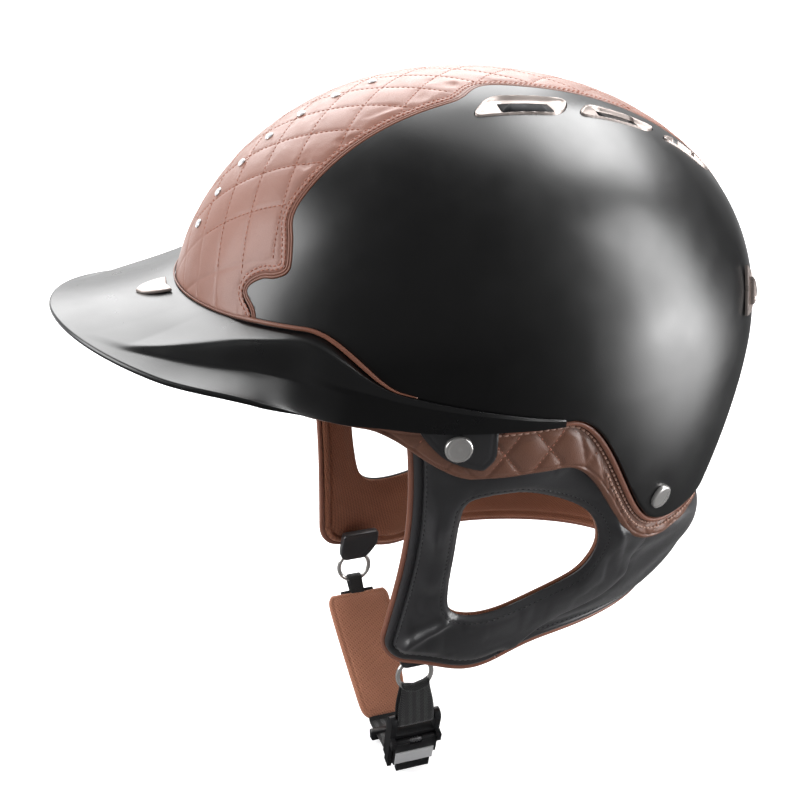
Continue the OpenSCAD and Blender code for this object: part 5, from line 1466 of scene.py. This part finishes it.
near_wire = np.array([RING_X, RING_Z - RING_R])
near_bar = strap_place(BUCKLE_BAR, 13.5, FALL)
loop = belt(near_wire, 2.1, near_bar, 2.4)
loop = np.concatenate([loop, loop[:1]])
length = run_length(loop)
path = at_lengths(loop, length, np.linspace(0, length[-1], 90, endpoint=False))
far = np.clip(np.linalg.norm(path - near_wire, axis=1) / np.linalg.norm(near_bar - near_wire), 0, 1)
ribbon("near_strap_loop", path, 1.1, mix(7.0, 9.7, np.minimum(1, far * 1.5)), "left_strap", True,
       ["buckle_webbing"], 1 - np.minimum(1, far * 1.3))
PAD_START, PAD_LONG = 8.0, 72.0
along_chin = [strap_place(x, 0, SLOPE) for x in (0, PAD_START - 1.5, PAD_START + 4, PAD_START + PAD_LONG + 3)]
start, run_start, pad_hold, chin_end = along_chin
plug_bar = strap_place(BUCKLE_BAR, -20.3, FALL)
ribbon("far_strap_loop", belt(start, 2.0 + float(sag(4.0)), pad_hold, 1.1), 1.0, 4.0, "right_strap", True)
run = [run_start, *(strap_place(x, 0, SLOPE) for x in np.linspace(PAD_START + 4, PAD_START + PAD_LONG, 16)),
       chin_end, *(mix(chin_end, plug_bar, x) for x in np.linspace(0.25, 0.9, 8))]
ribbon("chin_strap", spline(run, 3), 2.0, 9.9, "right_strap", replaces=["chin_webbing"])
ribbon("plug_strap_loop", belt(plug_bar, 2.0, mix(plug_bar, chin_end, 0.45), 1.0), 1.0, 9.6,
       "right_strap", True)

# chin pad
u = np.linspace(0, 1, 90)[:, None]
v = np.linspace(-1, 1, 60)[None]
crowned, ended = (np.sqrt(np.maximum(0, 1 - x)) for x in (np.abs(v) ** 3.2, np.abs(2 * u - 1) ** 7))
half = 0.6 + 3.4 * crowned * ended
wide = mix(37.0, 26.0, u ** 1.3) - 6 * np.abs(2 * u - 1) ** 16


def chin_place(height):
    x, z = np.moveaxis(strap_place(PAD_START + PAD_LONG * u + 0 * v, height, SLOPE), -1, 0)
    return np.stack([x, RING_Y + v * wide / 2, z], -1)


gap = np.minimum(np.minimum(u, 1 - u) * PAD_LONG, (1 - np.abs(v)) * wide / 2)
half = half - 0.5 * bell(gap, 2.6, 0.6) + noise(chin_place(half), 14) * 0.35
upper = chin_place(half)
make("chin_cushion", *faced(*solid(upper, chin_place(-half))), M_PAD, body="right_strap", uv=grid_uv(upper),
     replaces=["chin_pad"], slot="mesh_fabric", padded=0.7)

# leather tabs that hold the rings
profile = rounded(np.array([(-6, 22), (15, 22), (14, 14), (9, 8), (6, 5.8), (-6, 5.8), (-8, 8), (-8, 12)],
                           float), 2.0, 5)
middle = profile.mean(0)
steps = [(1.0, 0.0), (1.0, 0.55), (0.985, 0.85), (0.95, 1.0), (0.9, 1.02), (0.86, 0.9), (0.5, 1.02)]
rows = [np.c_[np.full(len(profile), RING_X + 2.6 * side * h),
              middle + (profile - middle) * k + [RING_Y, RING_Z]]
        for side, k, h in [(1, *q) for q in steps[::-1]] + [(-1, *q) for q in steps[1:]]]
pair("ring_loop_leather", *faced(*loft(rows, rows[0].mean(0), rows[-1].mean(0))), M_BLACK_LEATHER,
     replaces=["ring_tab"], slot="black_leather", sharp=60)

# Rigid CAD nodes that stay: material and width of the bevel
STAYING = {
    "ring_left": (M_NICKEL, 0), "ring_right": (M_NICKEL, 0), "front_rivets": (M_NICKEL, 0),
    "rear_rivets": (M_NICKEL, 0), "buckle_body": (M_BUCKLE, 0.00045), "buckle_lever": (M_BUCKLE, 0.0004),
    "lever_plate": (M_PLATE, 0.0002), "lever_pin": (M_STEEL, 0), "lever_spring": (M_STEEL, 0),
    "strap_slider": (M_BUCKLE, 0.0005), "buckle_plug": (M_BUCKLE, 0.00015),
    "vent_screen_left": (M_SCREEN, 0), "vent_screen_right": (M_SCREEN, 0)}
for name, (mat, bevel) in STAYING.items():
    o = nodes[name]
    o.data.materials.clear()
    o.data.materials.append(mat)
    o.modifiers.new("weld", "WELD").merge_threshold = 1e-6
    if bevel:
        b = o.modifiers.new("bevel", "BEVEL")
        b.width = bevel
        b.segments = 3
        b.limit_method = "ANGLE"
        b.angle_limit = math.radians(35)
        b.harden_normals = True
        b.use_clamp_overlap = True
    o.data.polygons.foreach_set("use_smooth", [True] * len(o.data.polygons))

# Stage and light
FLOOR_Z, FLOOR_HALF, AMBIENT = -0.3262, 9.0, 0.30
floor_mat, nt, b = new_material("floor", (0.82, 0.82, 0.83), 0.9, spec=0.1)
spot = coords(nt)
sheet = remap(nt, split(nt, spot)["X"], 0.75, 0.15, 0.0, 1.0)  # it ends towards the open studio
pale = two_tones(nt, sheet, (0.12, 0.12, 0.12),
                 two_tones(nt, tex_noise(nt, spot, 3, 3), (0.80, 0.80, 0.81), (0.84, 0.84, 0.845)))
rays = node(nt, "ShaderNodeLightPath").outputs
way = vector_maths(nt, "NORMALIZE", spot, "Vector")
behind = remap(nt, split(nt, way)["X"], -0.45, -0.95, 0.0, 1.0)
# painted dark reflection: glossy rays see the floor near black (0.04) everywhere except behind the helmet,
# while diffuse rays and the camera see it pale
painted_dark_reflection = maths(nt, "MULTIPLY", rays["Is Glossy Ray"], maths(nt, "SUBTRACT", 1.0, behind))
paint(nt, b, painted_dark_reflection, pale, (0.04, 0.04, 0.04))
away = maths(nt, "MAXIMUM", remap(nt, vector_maths(nt, "LENGTH", spot, "Value"), 0.5, 1.8, 0.62, 1.0),
             remap(nt, sheet, 0.0, 1.0, 1.0, 0.62))
seen = maths(nt, "MAXIMUM", rays["Is Camera Ray"], rays["Is Transmission Ray"])
# painted highlight: in glossy rays only, a spot of the floor towards the rear right glows up to 5 times as
# bright, a painted reflection that lights nothing
toward = vector_maths(nt, "DOT_PRODUCT", way, "Value", (0.389, 0.874, -0.292))
painted_glint_spot = remap(nt, toward, 0.93, 0.99, 0.0, 5.0)
shine = maths(nt, "MULTIPLY", rays["Is Glossy Ray"], maths(nt, "MAXIMUM", behind, painted_glint_spot))
glow = node(nt, "ShaderNodeEmission")
glow.inputs["Color"].default_value = (1, 1, 1, 1)
nt.links.new(maths(nt, "MAXIMUM", maths(nt, "MULTIPLY", seen, away), shine), glow.inputs["Strength"])
add = node(nt, "ShaderNodeAddShader")
nt.links.new(b.outputs[0], add.inputs[0])
nt.links.new(glow.outputs[0], add.inputs[1])
nt.links.new(add.outputs[0], nt.nodes["Material Output"].inputs["Surface"])
me = bpy.data.meshes.new("floor")
me.from_pydata([(x * FLOOR_HALF, y * FLOOR_HALF, FLOOR_Z) for x, y in ((-1, -1), (1, -1), (1, 1), (-1, 1))],
               [], [[0, 1, 2, 3]])
me.materials.append(floor_mat)
floor = bpy.data.objects.new("floor", me)
scene.collection.objects.link(floor)

world = bpy.data.worlds.new("world")
scene.world = world
world.use_nodes = True
nt = world.node_tree
background = nt.nodes["Background"]
background.inputs["Color"].default_value = (1, 1, 1, 1)
rays = node(nt, "ShaderNodeLightPath").outputs
seen = maths(nt, "MAXIMUM", rays["Is Camera Ray"], rays["Is Transmission Ray"])
behind = remap(nt, split(nt, coords(nt, "Generated"))["X"], -0.45, -0.95, 0.1, 1.0)
shine = maths(nt, "MULTIPLY", rays["Is Glossy Ray"], behind)
plain = maths(nt, "MULTIPLY", rays["Is Diffuse Ray"], AMBIENT)
nt.links.new(maths(nt, "MAXIMUM", maths(nt, "MAXIMUM", seen, shine), plain), background.inputs["Strength"])


def area(name, azimuth, elevation, distance, width, height, radiance, glossy=True):
    """Soft box at a direction from the object; radiance 1 is as bright as the backdrop."""
    aim = Vector((0, -0.01, -0.08))
    a, e = math.radians(azimuth), math.radians(elevation)
    l = bpy.data.lights.new(name, "AREA")
    l.shape = "RECTANGLE"
    l.size, l.size_y = width, height
    l.energy = radiance * math.pi * width * height
    o = bpy.data.objects.new(name, l)
    scene.collection.objects.link(o)
    o.location = aim + distance * Vector((math.cos(a) * math.cos(e), math.sin(a) * math.cos(e), math.sin(e)))
    o.rotation_euler = (aim - o.location).to_track_quat("-Z", "Y").to_euler()
    o.visible_glossy = glossy


area("back_box", 174, 38, 1.6, 1.7, 1.3, 4.4)
area("back_right_box", 106, 46, 1.5, 0.95, 0.66, 9.0)
area("top_box", 128, 72, 1.5, 0.9, 0.4, 1.7)
area("right_strip", 63, 6, 1.35, 0.54, 1.5, 7.2)
area("left_box", -97, 22, 1.4, 0.9, 1.2, 5.2)
area("front_fill", 8, 30, 2.2, 1.0, 0.8, 1.4, glossy=False)

scene.view_settings.view_transform = "Standard"
